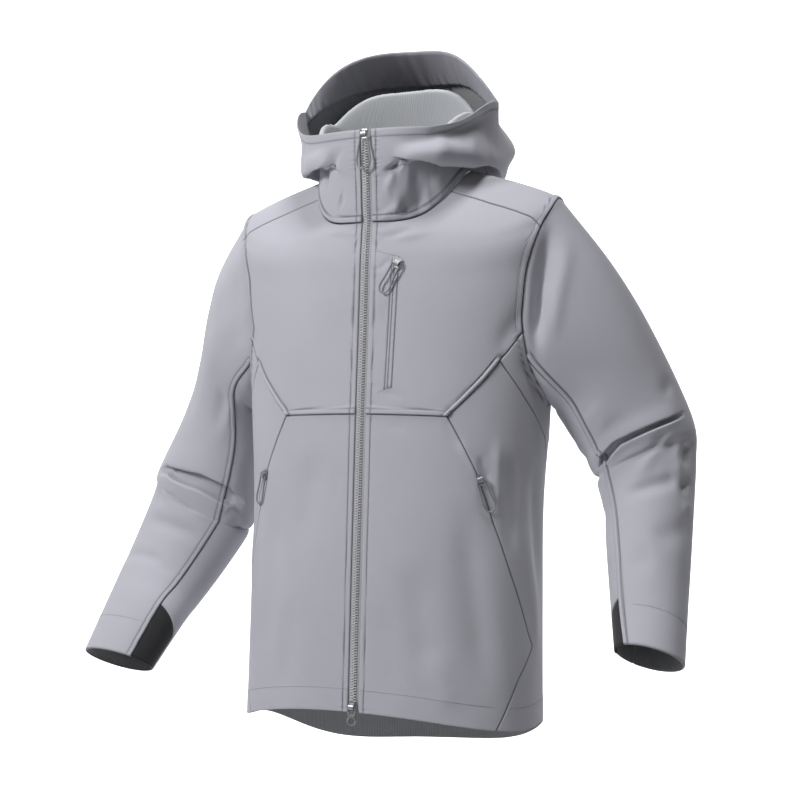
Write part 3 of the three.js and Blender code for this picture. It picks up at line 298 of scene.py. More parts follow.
def ring_point(table, angle, along):
    ring = smooth(*table, along)
    width, front_y, side_y, back_y, front_z, side_z, back_z = np.moveaxis(ring[..., :SQUARE], -1, 0)
    square, rise, rise_back, sweep, tilt = np.moveaxis(ring[..., SQUARE:], -1, 0)
    s, c = np.sin(np.radians(angle)), np.cos(np.radians(angle))
    power = 2 / square
    front = c > 0
    middle = np.where(front, front_y, back_y)
    low = np.where(front, front_z, back_z)
    x = width * np.sign(s) * np.abs(s) ** power
    y = side_y + (middle - side_y) * np.abs(c) ** np.where(front, power, power * sweep)
    z = low + (side_z - low) * np.abs(s) ** np.where(front, rise, rise_back) + tilt * s * (1 - c) / 2
    return np.stack([x, y, z], -1)


def angle_at(x, ring):
    """The angle at which the front of a ring lies x beside the centre."""
    return np.degrees(np.arcsin((x / ring[..., WIDTH]) ** (ring[..., SQUARE] / 2)))


FOLD_END = 0.35


def fold_depth(folds, angle, along, scale):
    """How deep the folds are at each point, from its distance to each fold's line."""
    degree, step = scale
    total = np.zeros_like(np.asarray(angle, float))
    for from_angle, from_along, to_angle, to_along, half_width, depth in folds:
        line_a, line_b = (to_angle - from_angle) * degree, (to_along - from_along) * step
        a = (near_angle(angle, (from_angle + to_angle) / 2) - from_angle) * degree
        b = (along - from_along) * step
        t = np.clip((a * line_a + b * line_b) / (line_a**2 + line_b**2), 0, 1)
        away = np.hypot(a - t * line_a, b - t * line_b)
        total = total + depth * bell(away, half_width) * tapered(t, FOLD_END)
    return total


EDGE_FALL = 2.6
EDGE_RISE = 5.0
EDGE_SPREAD = 13.0
EDGE_LAP = 7.0
EDGE_END = 0.2


def lip_shift(lips, angle, along, scale):
    """How far each lip moves a point out of the surface, and across it along the domain's two axes."""
    degree, step = scale
    out = np.zeros_like(angle)
    across = np.zeros(np.shape(angle) + (2,))
    for points, height, depth, beyond, lap in lips:
        line = np.array([(a * degree, b * step, gap) for a, b, gap in points])
        middle = np.mean([a for a, _, _ in points])
        here = np.stack([near_angle(angle, middle) * degree, along * step], -1)
        best = np.full(np.shape(angle), np.inf)
        signed, share, gap = np.zeros_like(angle), np.zeros_like(angle), np.zeros_like(angle)
        side = np.zeros_like(across)
        parts = len(line) - 1
        for i in range(parts):
            start, d = line[i, :2], line[i + 1, :2] - line[i, :2]
            size = math.hypot(*d)
            normal = np.array([d[1], -d[0]]) / size
            normal = normal * (1 if normal[1] > 0 else -1) * DOWNWARD[scale]
            raw = ((here - start) @ d) / size**2
            t = np.clip(raw, 0, 1)
            foot = here - start - t[..., None] * d
            away = np.hypot(foot[..., 0], foot[..., 1])
            closer = away < best
            best = np.where(closer, away, best)
            signed = np.where(closer, np.sign(foot @ normal) * away, signed)
            share = np.where(closer, (i + t) / parts, share)
            gap = np.where(closer, line[i, 2] + t * (line[i + 1, 2] - line[i, 2]), gap)
            side[closer] = normal / np.array(scale)
        taper = tapered(share, EDGE_END)
        fall = smoothstep(signed / EDGE_FALL)
        rise = smoothstep((signed - gap) / EDGE_RISE + 0.5)
        above = height * bell(signed, EDGE_SPREAD)
        below = beyond * bell(signed - gap, EDGE_SPREAD)
        lifted = np.where(signed < 0, above, height - (height + depth) * fall + (depth + below) * rise)
        lifted = np.where(signed > gap + EDGE_RISE, below, lifted)
        out = out + taper * lifted
        pull = np.where(signed < 0, bell(signed, EDGE_LAP), 1 - fall)
        across = across + (taper * lap * pull)[..., None] * side
    return out, across


def unit(v):
    return v / np.maximum(np.linalg.norm(v, axis=-1, keepdims=True), 1e-9)


class Surface:
    """A smooth surface of two numbers, an angle and a place along its rings, with folds pressed in."""

    def __init__(self, bare, steps, limits, folds, scale, facing=1, lips=()):
        self.bare, self.steps, self.limits = bare, steps, limits
        self.folds, self.scale, self.facing, self.lips = folds, scale, facing, lips

    def plain(self, a, b):
        return self.bare(a, np.clip(b, *self.limits))

    def normal(self, a, b):
        across = self.plain(a + self.steps[0], b) - self.plain(a - self.steps[0], b)
        up = self.plain(a, b + self.steps[1]) - self.plain(a, b - self.steps[1])
        return self.facing * unit(np.cross(across, up))

    def point(self, a, b):
        out = -fold_depth(self.folds, a, b, self.scale)
        if self.lips:
            a, b = np.broadcast_arrays(np.asarray(a, float), np.asarray(b, float))
            lifted, across = lip_shift(self.lips, a, b, self.scale)
            out = out + lifted
            a, b = a + across[..., 0], b + across[..., 1]
        return self.plain(a, b) + self.normal(a, b) * out[..., None]


BODY_STEPS, HOOD_STEPS, SLEEVE_STEPS = (0.5, 1.5), (0.5, 0.04), (1, 0.04)
body = Surface(
    lambda a, b: ring_point(BODY_TABLE, a, b), BODY_STEPS, (HEM_FRONT, NECK_FRONT), BODY_FOLDS + BODY_CREASES,
    BODY_SCALE,
)
hood = Surface(
    lambda a, b: ring_point(HOOD_TABLE, a, b), HOOD_STEPS, (0, RIM), HOOD_FOLDS + HOOD_CREASES,
    HOOD_SCALE, 1, HOOD_LIPS,
)


def armhole_at(turn):
    at = smooth(ARMHOLE[:, 0], ARMHOLE[:, 1:], np.mod(turn, 360))
    return at[..., 0], at[..., 1]


# The turn at which the armhole is lowest
LOWEST_TURN = float(min(np.arange(170, 200, 0.25), key=lambda turn: armhole_at(np.array(turn))[1]))
# Where a sleeve hangs beside the body: below SIDE_TOP, and not within SIDE_START of the armhole
SIDE_TOP = 20
SIDE_FADE = 30
SIDE_START = 0.7
SIDE_ROUND = 3
HIGHEST_SIDE = 40
CAP_FADE = 2
CENTRE_STEP = 1.2


def body_half_width(y, z):
    ring = smooth(*BODY_TABLE, np.minimum(z, HIGHEST_SIDE))
    width, front_y, side_y, back_y, square = (ring[..., i] for i in (WIDTH, FRONT_Y, SIDE_Y, BACK_Y, SQUARE))
    middle = np.where(y < side_y, front_y, back_y)
    share = np.clip(np.abs((y - side_y) / (middle - side_y)), 0, 1)
    return width * (1 - share**square) ** (1 / square)


def sleeve_surface(side):
    sign = 1 if side == "left" else -1

    def sizes(station):
        return np.moveaxis(smooth(STATIONS, SLEEVES[side], station), -1, 0)

    def centre(station):
        outer_x, outer_z, inner_x, inner_z, middle_y, _ = sizes(station)
        return np.stack([(outer_x + inner_x) / 2, middle_y, (outer_z + inner_z) / 2], -1)

    def section(turn, station):
        outer_x, outer_z, inner_x, inner_z, _, half_depth = sizes(station)
        half = np.stack([(outer_x - inner_x) / 2, np.zeros_like(outer_x), (outer_z - inner_z) / 2], -1)
        along = centre(np.minimum(station + CENTRE_STEP, CUFF)) - centre(np.maximum(station - CENTRE_STEP, 0))
        depth = unit(np.cross(along, half))
        depth = depth * (-np.sign(depth[..., 1]) * half_depth)[..., None]
        t = np.radians(turn)[..., None]
        return centre(station) + half * np.cos(t) + depth * np.sin(t)

    def bare(turn, station):
        turn, station = np.broadcast_arrays(np.asarray(turn, float), np.asarray(station, float))
        angle, ring = armhole_at(turn)
        loop = body.point(sign * angle, ring)
        fade = 1 - smoothstep(station / CAP_FADE)
        lead = (loop - section(turn, np.zeros_like(station))) * fade[..., None]
        p = section(turn, station) + lead
        low = smoothstep((SIDE_TOP - p[..., 2]) / SIDE_FADE) * smoothstep(station / SIDE_START)
        inside = body_half_width(p[..., 1], p[..., 2]) + BODY_CLEARANCE - sign * p[..., 0]
        p[..., 0] += sign * (inside + np.hypot(inside, SIDE_ROUND)) / 2 * low
        return p

    folds = SLEEVE_FOLDS[side] + SLEEVE_CREASES[side]
    return Surface(bare, SLEEVE_STEPS, (0, CUFF), folds, SLEEVE_SCALE, sign, SLEEVE_LIPS[side])


sleeves = {"left": sleeve_surface("left"), "right": sleeve_surface("right")}

# Seams of the wearer's left half, as lines of (angle, ring) points. The right half mirrors the angles.


class Line:
    """A line on a surface: at(s) gives its points, for s from 0 to its number of segments."""

    def __init__(self, segments, at):
        self.segments, self.at = segments, at

    def reverse(self):
        return Line(self.segments, lambda s: self.at(self.segments - s))

    def mirror(self):
        return Line(self.segments, lambda s: self.at(s) * (-1, 1))

    def wrap(self):
        return Line(self.segments, lambda s: (360, 0) + self.at(s) * (-1, 1))


def even(points, segments):
    """A line through the points, its segments of equal length."""
    points = np.array(points, float)
    steps = np.hypot(*(np.diff(points, axis=0) * (BODY_SCALE[0], 1)).T)
    length = np.concatenate([[0], np.cumsum(steps)])

    def at(s):
        return interpolate(np.asarray(s, float) / segments * length[-1], length, points)

    return Line(segments, at)


ARMHOLE_TURNS = [0, 20, 40, 63, 87, 110, 130, 155, 180, 207, 235, 257, 279, 300, 320, 340, 360]


def armhole_line(start, end):
    """The armhole's line between two of its turns."""
    turns = ARMHOLE_TURNS + [turn + 360 for turn in ARMHOLE_TURNS[1:]]
    if end < start and start - end > 180:
        end += 360
    picked = [turn for turn in turns if min(start, end) <= turn <= max(start, end)]
    if start > end:
        picked.reverse()

    def at(s):
        return np.stack(armhole_at(np.interp(s, range(len(picked)), picked)), -1)

    return Line(len(picked) - 1, at)


def joined(*lines):
    starts = np.cumsum([0] + [line.segments for line in lines])

    def at(s):
        s = np.asarray(s, float)
        out = np.zeros(s.shape + (2,))
        for i, line in enumerate(lines):
            last = i == len(lines) - 1
            here = (s >= starts[i]) & ((s < starts[i + 1]) | last)
            out[here] = line.at(s[here] - starts[i])
        return out

    return Line(int(starts[-1]), at)


def body_placket(start, end, segments):
    def at(s):
        ring = start + (end - start) * np.asarray(s, float) / segments
        return np.stack([angle_at(PLACKET_EDGE, smooth(*BODY_TABLE, ring)), ring], -1)

    return Line(segments, at)


CHEST_CORNER = (30, -20)
CHEST_JOIN = (51.5, 51)
UNDERARM_SIDE = (90.5, -44)
NECK_SHOULDER = (62, NECK_FRONT)
HEM_GUSSET = (56.5, HEM_FRONT)
HEM_SIDE = (118, HEM_FRONT)
YOKE_BACK = (180, 167)
POCKET_END = (83, -303)
TURN_CHEST, TURN_SHOULDER, TURN_UNDERARM, TURN_YOKE = 110, 40, LOWEST_TURN, 300
SEAM_FRONT, SEAM_BACK = 130, 235
HOOD_SEAM = 128


def point_on(line, s):
    return tuple(line.at(np.array(float(s))))


placket_hem = point_on(body_placket(HEM_FRONT, NECK_FRONT, 1), 0)
placket_chest = point_on(body_placket(CHEST_SEAM, NECK_FRONT, 1), 0)
placket_neck = point_on(body_placket(HEM_FRONT, NECK_FRONT, 1), 1)
shoulder_point = point_on(armhole_line(TURN_SHOULDER, TURN_CHEST), 0)
chest_point = point_on(armhole_line(TURN_CHEST, TURN_SHOULDER), 0)
yoke_point = point_on(armhole_line(TURN_YOKE, 360), 0)
underarm_point = point_on(armhole_line(TURN_UNDERARM, 207), 0)

neck_front = even([placket_neck, NECK_SHOULDER], 6)
neck_side = even([NECK_SHOULDER, (HOOD_SEAM, NECK_FRONT)], 4)
neck_back = even([(HOOD_SEAM, NECK_FRONT), (360 - HOOD_SEAM, NECK_FRONT)], 12)
chest = even([placket_chest, CHEST_CORNER], 6)
chest_slant = even([CHEST_CORNER, (45, 28), CHEST_JOIN], 6)
chest_end = even([CHEST_JOIN, chest_point], 1)
armhole_front = armhole_line(TURN_CHEST, TURN_SHOULDER)
shoulder = even([shoulder_point, (60.5, 205), (60, 217), NECK_SHOULDER], 4)
pocket = even([CHEST_CORNER, (44.5, -92), (54, -153), (65.5, -220), (78, -284), POCKET_END], 7)
gusset = even([POCKET_END, (70, -338), HEM_GUSSET], 2)
hem_front = even([placket_hem, HEM_GUSSET], 6)
hem_side = even([HEM_GUSSET, HEM_SIDE], 6)
underarm = even([CHEST_JOIN, (69, 3), UNDERARM_SIDE], 3)
side_back = even([UNDERARM_SIDE, (104, -110), (112, -180), (116, -260), HEM_SIDE], 6)
armhole_under = armhole_line(TURN_CHEST, TURN_UNDERARM)
armhole_back = armhole_line(TURN_UNDERARM, TURN_YOKE)
armhole_top = armhole_line(TURN_YOKE, TURN_SHOULDER)
front = joined(pocket, gusset)
side = joined(underarm, side_back)
underarm_edge = even([UNDERARM_SIDE, underarm_point], 1)
wrapped_yoke_point = (360 - yoke_point[0], yoke_point[1])
yoke_seam = even([yoke_point, (150, 165), YOKE_BACK, (210, 165), wrapped_yoke_point], 10)
back_edge = joined(side_back.reverse(), underarm_edge, armhole_back)
back_hem = even([HEM_SIDE, (180, HEM_FRONT), (360 - HEM_SIDE[0], HEM_FRONT)], 10)
neck_line = joined(neck_side, neck_back, neck_side.wrap().reverse())

PATCHES = {
    "front_chest": (
        chest, joined(chest_slant, chest_end, armhole_front, shoulder), neck_front,
        body_placket(CHEST_SEAM, NECK_FRONT, 14),
    ),
    "front_lower": (hem_front, front.reverse(), chest, body_placket(HEM_FRONT, CHEST_SEAM, 9)),
    "side_panel": (hem_side, side.reverse(), chest_slant, front.reverse()),
    "wing": (underarm.reverse(), chest_end, armhole_under.reverse(), underarm_edge),
    "back": (back_hem, back_edge.wrap(), yoke_seam, back_edge),
    "yoke": (
        joined(armhole_top.reverse(), yoke_seam, armhole_top.wrap()), shoulder.wrap(), neck_line, shoulder,
    ),
}
# How far from a panel's edge its close rows of points lie, and the least room between them and the others
CLOSE_ROWS = np.array([0.5, 1.0, 1.6, 2.6, 3.9, 5.2, 6.0, 6.8, 7.6, 8.6, 10.2])
LEAST_ROOM = 1.2


def ticks(segments, length, cell=CELL):
    """Places along a side: about one a cell, and closer beside its two ends, where the seams are."""
    count = max(int(round(length / cell / segments)), 1) * segments
    close = CLOSE_ROWS * segments / length
    near = np.concatenate([close, segments - close])
    near = near[(near > 0) & (near < segments)]
    far = np.linspace(0, segments, count + 1)
    apart = np.abs(far[:, None] - near[None, :]).min(1) > LEAST_ROOM * segments / length
    apart[[0, -1]] = True
    return np.sort(np.concatenate([far[apart], near]))


def patch(sides, ui, vi):
    """The points inside four lines: bottom and top run from left to right, right and left go up."""
    bottom, right, top, left = sides
    u, v = ui / bottom.segments, vi / left.segments
    U, V = np.meshgrid(u, v)
    U, V = U[..., None], V[..., None]
    lower, upper = bottom.at(ui)[None], top.at(ui)[None]
    start, end = left.at(vi)[:, None], right.at(vi)[:, None]
    corners = (1 - U) * (1 - V) * lower[:, :1] + U * (1 - V) * lower[:, -1:]
    corners = corners + (1 - U) * V * upper[:, :1] + U * V * upper[:, -1:]
    return (1 - V) * lower + V * upper + (1 - U) * start + U * end - corners


def length_of(skin, line):
    p = skin.point(*line.at(np.linspace(0, line.segments, 60)).T)
    return float(np.linalg.norm(np.diff(p, axis=0), axis=1).sum())


def body_grid(name, turned=None):
    sides = PATCHES[name]
    across = max(length_of(body, sides[0]), length_of(body, sides[2]))
    up = max(length_of(body, sides[1]), length_of(body, sides[3]))
    return turn_grid(patch(sides, ticks(sides[0].segments, across), ticks(sides[3].segments, up)), turned)


def turn_grid(grid, turned):
    """A grid of the wearer's left half, or the right half's, at angles below zero or as wrapped above 180."""
    if turned is None:
        return grid
    return (360 if turned == "wrap" else 0, 0) + grid * (-1, 1)


def turn_seams(pairs, turned):
    turn = {None: lambda line: line, "mirror": Line.mirror, "wrap": Line.wrap}[turned]
    return [(turn(line), style) for line, style in pairs]


def grid_of(columns, rows):
    return np.stack(np.broadcast_arrays(columns[None, :], rows[:, None]), -1).astype(float)


# Meshes


def place(points):
    """Millimetres in the part's own tables, as metres in the frame."""
    return (np.asarray(points) - NAPE) / 1000


def mesh_object(name, points, faces, uv=None):
    mesh = bpy.data.meshes.new(name)
    faces = np.asarray(faces)
    mesh.vertices.add(len(points))
    mesh.vertices.foreach_set("co", place(points).astype(np.float32).ravel())
    mesh.loops.add(faces.size)
    mesh.loops.foreach_set("vertex_index", faces.ravel().astype(np.int32))
    mesh.polygons.add(len(faces))
    sides = faces.shape[1]
    mesh.polygons.foreach_set("loop_start", np.arange(0, faces.size, sides, dtype=np.int32))
    mesh.polygons.foreach_set("use_smooth", np.ones(len(faces), bool))
    if uv is not None:
        layer = mesh.uv_layers.new(name="cloth")
        layer.data.foreach_set("uv", uv[faces.ravel()].astype(np.float32).ravel())
    mesh.update(calc_edges=True)
    mesh.validate()
    made = bpy.data.objects.new(name, mesh)
    bpy.context.scene.collection.objects.link(made)
    return made


# The topstitched rows: the panel, its surface, the seam's line and the row's distance from it
STITCH_ROWS = []


def distance_to(points, line):
    """Each point's distance to a line of points in space, and how far along the line that is."""
    start, step = line[:-1], np.diff(line, axis=0)
    size = np.maximum((step**2).sum(1), 1e-9)
    travelled = np.concatenate([[0], np.cumsum(np.sqrt(size))])
    best, along = np.full(len(points), np.inf), np.zeros(len(points))
    for p, d, s, t0 in zip(start, step, size, travelled):
        t = np.clip(((points - p) @ d) / s, 0, 1)
        away = np.linalg.norm(points - p - t[:, None] * d, axis=1)
        closer = away < best
        best[closer] = away[closer]
        along[closer] = t0 + t[closer] * math.sqrt(s)
    return best, along


# Sizes of the seams' relief: a groove at the edge, then what its style adds
GROOVE = 1.5
GROOVE_WIDTH = 0.9
BAND_RISE = 1.8
STITCH_DIP = 0.5
STITCH_IN = 1.4
EDGE_DIP = 0.5
ROLL_RISE = 2.4
ROLL_DIP = 1.2
SINK = 1.4
# Stitch rows further than this from their seam get no painted shade
WIDEST_PAINTED_SHADE_ROW = 13
PUCKER_PITCH = 7.5
GATHER_PITCH = 5.2


def pucker(along, pitch):
    return np.sin(2 * np.pi * along / pitch + 1.7 * np.sin(2 * np.pi * along / (pitch * 3.3)))


def relief(away, along, style):
    """The height of a seam's edge over its panel, and how much painted shade it puts in its grooves and
    stitch rows.

    A plain seam has a groove only; a band is raised and topstitched, and may be gathered; a roll is rounded;
    a stitched edge and a hem lie flat, and a sunk edge runs down into the cloth under it.
    """
    kind, width = style[0], style[1] if len(style) > 1 else 0
    groove = bell(away, GROOVE_WIDTH)
    height, shade = -GROOVE * groove, 0.9 * groove
    edge = away - width
    row = edge + STITCH_IN
    paints_row_shade = float(width < WIDEST_PAINTED_SHADE_ROW)
    if kind == "band":
        height = height + BAND_RISE * smoothstep(away / 1.6) * (1 - smoothstep((edge + 0.9) / 1.3))
        height = height - STITCH_DIP * bell(row, 0.8) - EDGE_DIP * bell(edge, 0.9)
        height = height + 0.2 * pucker(along, PUCKER_PITCH) * bell(edge, 3.5)
        if len(style) > 2:
            height = height + style[2] * pucker(along, GATHER_PITCH) * bell(away - width / 2, 2.4)
        shade = shade + 0.95 * bell(edge, 0.85)
    elif kind == "roll":
        height = height + ROLL_RISE * np.sin(np.pi * np.clip(away / width, 0, 1)) ** 0.8
        height = height - ROLL_DIP * bell(edge, 0.9)
        shade = shade + 0.9 * bell(edge, 0.9)
    elif kind == "stitched":
        height = height - STITCH_DIP * bell(row, 0.9) + 0.34 * pucker(along, PUCKER_PITCH) * bell(edge, 4.5)
        shade = shade + 0.85 * paints_row_shade * bell(row, 0.75)
    elif kind == "sink":
        height = SINK * (smoothstep(away / width) - 1)
        shade = 0.5 * bell(row, 0.7)
    elif kind == "hem":
        height = 0.4 * height + 0.4 * (1 - smoothstep(edge / 1.5)) - STITCH_DIP * bell(row, 1.2)
        shade = 0.2 * groove + 0.5 * paints_row_shade * bell(row, 1.0)
    return height, shade


def shell(name, grids, skin, seams=(), sunk=0.0, thickness=CLOTH, inner_bump=None):
    """A closed shell over the grids. seams are (line, style) pairs along which its outer face is shaped.

    inner_bump gives the height of the inner face at each place of the domain.
    """
    domain = np.concatenate([grid.reshape(-1, 2) for grid in grids])
    _, first, index = np.unique(np.round(domain, 3), axis=0, return_index=True, return_inverse=True)
    domain = domain[first]
    index = index.reshape(-1)
    point, normal = skin.point(*domain.T), skin.normal(*domain.T)
    quads, offset = [], 0
    for grid in grids:
        rows, columns = grid.shape[:2]
        ids = index[offset : offset + rows * columns].reshape(rows, columns)
        offset += rows * columns
        cells = np.stack([ids[:-1, :-1], ids[:-1, 1:], ids[1:, 1:], ids[1:, :-1]], -1).reshape(-1, 4)
        middle = point[cells[:, 0]]
        facing = np.cross(point[cells[:, 1]] - middle, point[cells[:, 3]] - middle)
        if (facing * normal[cells[:, 0]]).sum() < 0:
            cells = cells[:, ::-1]
        quads.append(cells)
    quads = np.concatenate(quads)
    height, shade = np.zeros(len(point)), np.zeros(len(point))
    for line, style in seams:
        path = skin.point(*line.at(np.linspace(0, line.segments, max(16, line.segments * 8))).T)
        away, along = distance_to(point, path)
        rise, painted_shade = relief(away, along, style)
        height += rise
        shade = np.maximum(shade, painted_shade)
        if style[0] not in ("plain", "roll"):
            STITCH_ROWS.append((name, skin, line, style[1] - STITCH_IN))
    outer = point + normal * (height - sunk)[:, None]
    inner_height = np.minimum(height, 0) * 0.5 - sunk - thickness
    if inner_bump is not None:
        inner_height = inner_height - inner_bump(domain)
    inner = point + normal * inner_height[:, None]
    directed = np.stack([quads, np.roll(quads, -1, axis=1)], -1).reshape(-1, 2)
    edges = np.sort(directed, axis=1)
    _, where, uses = np.unique(edges, axis=0, return_index=True, return_counts=True)
    rim = directed[where[uses == 1]]
    count = len(point)
    rim_faces = np.stack([rim[:, 1], rim[:, 0], rim[:, 0] + count, rim[:, 1] + count], -1)
    faces = np.concatenate([quads, quads[:, ::-1] + count, rim_faces])
    uv = np.tile(domain * skin.scale, (2, 1)) / 100
    made = mesh_object(name, np.concatenate([outer, inner]), faces, uv)
    # The painted shade of the seams' grooves and stitch rows, kept on the outer face's points
    attribute = made.data.attributes.new("painted_seam_shade", "FLOAT", "POINT")
    attribute.data.foreach_set("value", np.concatenate([shade, np.zeros(len(shade))]).astype(np.float32))
    inside = np.zeros(len(faces), np.int32)
    inside[len(quads) : 2 * len(quads)] = 1
    made.data.polygons.foreach_set("material_index", inside)
    return made


# Materials

# How far the painted seam shade takes the cloth's colour down, at its deepest
PAINTED_SEAM_SHADE_TONE = 0.3
WEAVE = 0.28
SHEEN = 0.12
RIB_PITCH = 0.026
# The length of one wave of a wave texture at scale 1
WAVE_LENGTH = 0.314
# How far the painted shade between the knit's ribs takes its colour down
RIB_TROUGH_PAINTED_SHADE = 0.72


def fill(tree, made, **inputs):
    """Give a node's inputs their values, or join them to the outputs given for them."""
    for name, value in inputs.items():
        socket = made.inputs[name.replace("_", " ")]
        if isinstance(value, bpy.types.NodeSocket):
            tree.links.new(value, socket)
        else:
            socket.default_value = value
    return made


def node(tree, kind, **inputs):
    return fill(tree, tree.nodes.new(kind), **inputs)


def new_material(name, colour, roughness):
    """A material, its tree, its shader and the output that gives a point's place on its object."""
    material = bpy.data.materials.new(name)
    material.use_nodes = True
    tree = material.node_tree
    shader = fill(tree, tree.nodes["Principled BSDF"], Base_Color=(*colour, 1), Roughness=roughness)
    return material, tree, shader, node(tree, "ShaderNodeTexCoord").outputs["Object"]


def tinted(colour, factor):
    return (*[min(c * factor, 1) for c in colour], 1)


def ramp_of(tree, value, *stops):
    """A ramp of colours between two stops, each a position and a colour."""
    ramp = node(tree, "ShaderNodeValToRGB", Fac=value)
    for element, (position, colour) in zip(ramp.color_ramp.elements, stops):
        element.position = position
        element.color = colour
    return ramp.outputs["Color"]


def bump_of(tree, texture, strength, distance):
    bump = node(tree, "ShaderNodeBump", Strength=strength, Distance=distance, Height=texture.outputs["Fac"])
    return bump.outputs["Normal"]


def cloth_material(name, colour, shade, roughness=0.82, grain=900.0):
    """Matte cloth: a fine weave in the bump, slow variation in its colour, and painted shade along the seams'
    grooves and stitch rows.
    """
    material, tree, shader, where = new_material(name, colour, roughness)
    slow = node(tree, "ShaderNodeTexNoise", Scale=9.0, Detail=3.0, Vector=where)
    fine = node(tree, "ShaderNodeTexNoise", Scale=grain, Detail=2.0, Vector=where)
    # Painted shade along the seams' grooves and stitch rows, read from the mesh
    seam = node(tree, "ShaderNodeAttribute")
    seam.attribute_name = "painted_seam_shade"
    painted_seam_shade_mix = node(tree, "ShaderNodeMix")
    painted_seam_shade_mix.data_type = "RGBA"
    fill(tree, painted_seam_shade_mix, Factor=seam.outputs["Fac"])
    stops = (0.3, tinted(colour, 1 - shade)), (0.7, tinted(colour, 1 + shade))
    tree.links.new(ramp_of(tree, slow.outputs["Fac"], *stops), painted_seam_shade_mix.inputs[6])
    painted_seam_shade_mix.inputs[7].default_value = tinted(colour, PAINTED_SEAM_SHADE_TONE)
    normal = bump_of(tree, fine, WEAVE, 0.0004)
    fill(tree, shader, Base_Color=painted_seam_shade_mix.outputs[2], Normal=normal, Sheen_Weight=SHEEN, Sheen_Roughness=0.5)
    return material


def metal_material(name, colour, roughness, metallic):
    material, tree, shader, where = new_material(name, colour, roughness)
    noise = node(tree, "ShaderNodeTexNoise", Scale=400.0, Detail=3.0, Vector=where)
    fill(tree, shader, Metallic=metallic, Normal=bump_of(tree, noise, 0.12, 0.0002))
    return material


def knit_material(name, colour):
    """Ribbed knit: its ribs follow the cloth's own coordinates, with painted shade in the troughs between
    them.
    """
    material, tree, shader, _ = new_material(name, colour, 0.95)
    place_on = node(tree, "ShaderNodeUVMap")
    place_on.uv_map = "cloth"
    ribs = node(tree, "ShaderNodeTexWave", Scale=WAVE_LENGTH / RIB_PITCH, Vector=place_on.outputs["UV"])
    fill(tree, ribs, Distortion=0.6, Detail=1.0, Detail_Scale=3.0)
    # Painted shade: the colour falls in the troughs between the ribs, where the bump is low
    painted_rib_shade = ramp_of(tree, ribs.outputs["Fac"], (0, tinted(colour, RIB_TROUGH_PAINTED_SHADE)), (1, tinted(colour, 1)))
    fill(tree, shader, Base_Color=painted_rib_shade, Normal=bump_of(tree, ribs, 0.6, 0.0006), Sheen_Weight=0.3)
    return material


shell_cloth = cloth_material("shell_cloth", (0.405, 0.408, 0.456), 0.03)
knit_cloth = knit_material("knit_cloth", (0.56, 0.58, 0.61))
# The inner faces of the shell pieces: a knit texture in a lower tone than the shell cloth, which paints the
# shade inside the jacket and the hood
inside_painted_shade_cloth = knit_material("inside_painted_shade_cloth", (0.31, 0.315, 0.34))
facing_cloth = cloth_material("facing_cloth", (0.32, 0.32, 0.36), 0.06, roughness=0.45)
tape_cloth = cloth_material("tape_cloth", (0.36, 0.36, 0.39), 0.1, grain=1500.0)
thread = cloth_material("thread", (0.2, 0.2, 0.225), 0.04, roughness=0.6, grain=2500.0)
stretch_cloth = cloth_material("stretch_cloth", (0.012, 0.012, 0.014), 0.2, roughness=0.8, grain=1200.0)
zip_plastic = metal_material("zip_plastic", (0.62, 0.62, 0.65), 0.4, 0.0)
slider_metal = metal_material("slider_metal", (0.36, 0.36, 0.38), 0.42, 0.8)
pull_cord = metal_material("pull_cord", (0.24, 0.24, 0.26), 0.45, 0.0)


def finish_piece(piece, material, nodes):
    indexes = np.zeros(len(piece.data.polygons), np.int32)
    piece.data.polygons.foreach_get("material_index", indexes)
    piece.data.materials.clear()
    piece.data.materials.append(material)
    # The shell cloth's inner faces take the inside's painted shade
    piece.data.materials.append(inside_painted_shade_cloth if material is shell_cloth else material)
    piece.data.polygons.foreach_set("material_index", indexes)
    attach(piece, "garment")
    if nodes:
        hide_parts(*nodes)


# Body panels

BAND = ("band", 8.0)
ROLL = ("roll", 6.2)
PLAIN = ("plain",)
PLACKET = ("stitched", 9.2)
HEM = ("hem", 30)


def body_seams(name, turned=None):
    """The lines that shape a body panel's edges."""
    if name == "front_chest":
        pairs = [(chest, BAND), (chest_slant, ROLL), (chest_end, PLAIN), (armhole_front, BAND),
                 (shoulder, PLAIN), (neck_front, PLAIN), (PATCHES[name][3], PLACKET)]
    elif name == "front_lower":
        pairs = [(chest, PLAIN), (front, PLAIN), (PATCHES[name][3], PLACKET), (hem_front, HEM)]
    elif name == "side_panel":
        pairs = [(chest_slant, PLAIN), (front, PLAIN), (side, PLAIN), (hem_side, HEM)]
    elif name == "wing":
        pairs = [(underarm, PLAIN), (chest_end, PLAIN), (armhole_under, BAND)]
    elif name == "back":
        pairs = [(side_back, PLAIN), (side_back.wrap(), PLAIN), (yoke_seam, PLAIN), (armhole_back, BAND),
                 (armhole_back.wrap(), BAND), (back_hem, HEM)]
    else:
        pairs = [(shoulder, PLAIN), (shoulder.wrap(), PLAIN), (yoke_seam, PLAIN), (armhole_top, BAND),
                 (armhole_top.wrap(), BAND), (neck_line, PLAIN)]
    return turn_seams(pairs, turned)


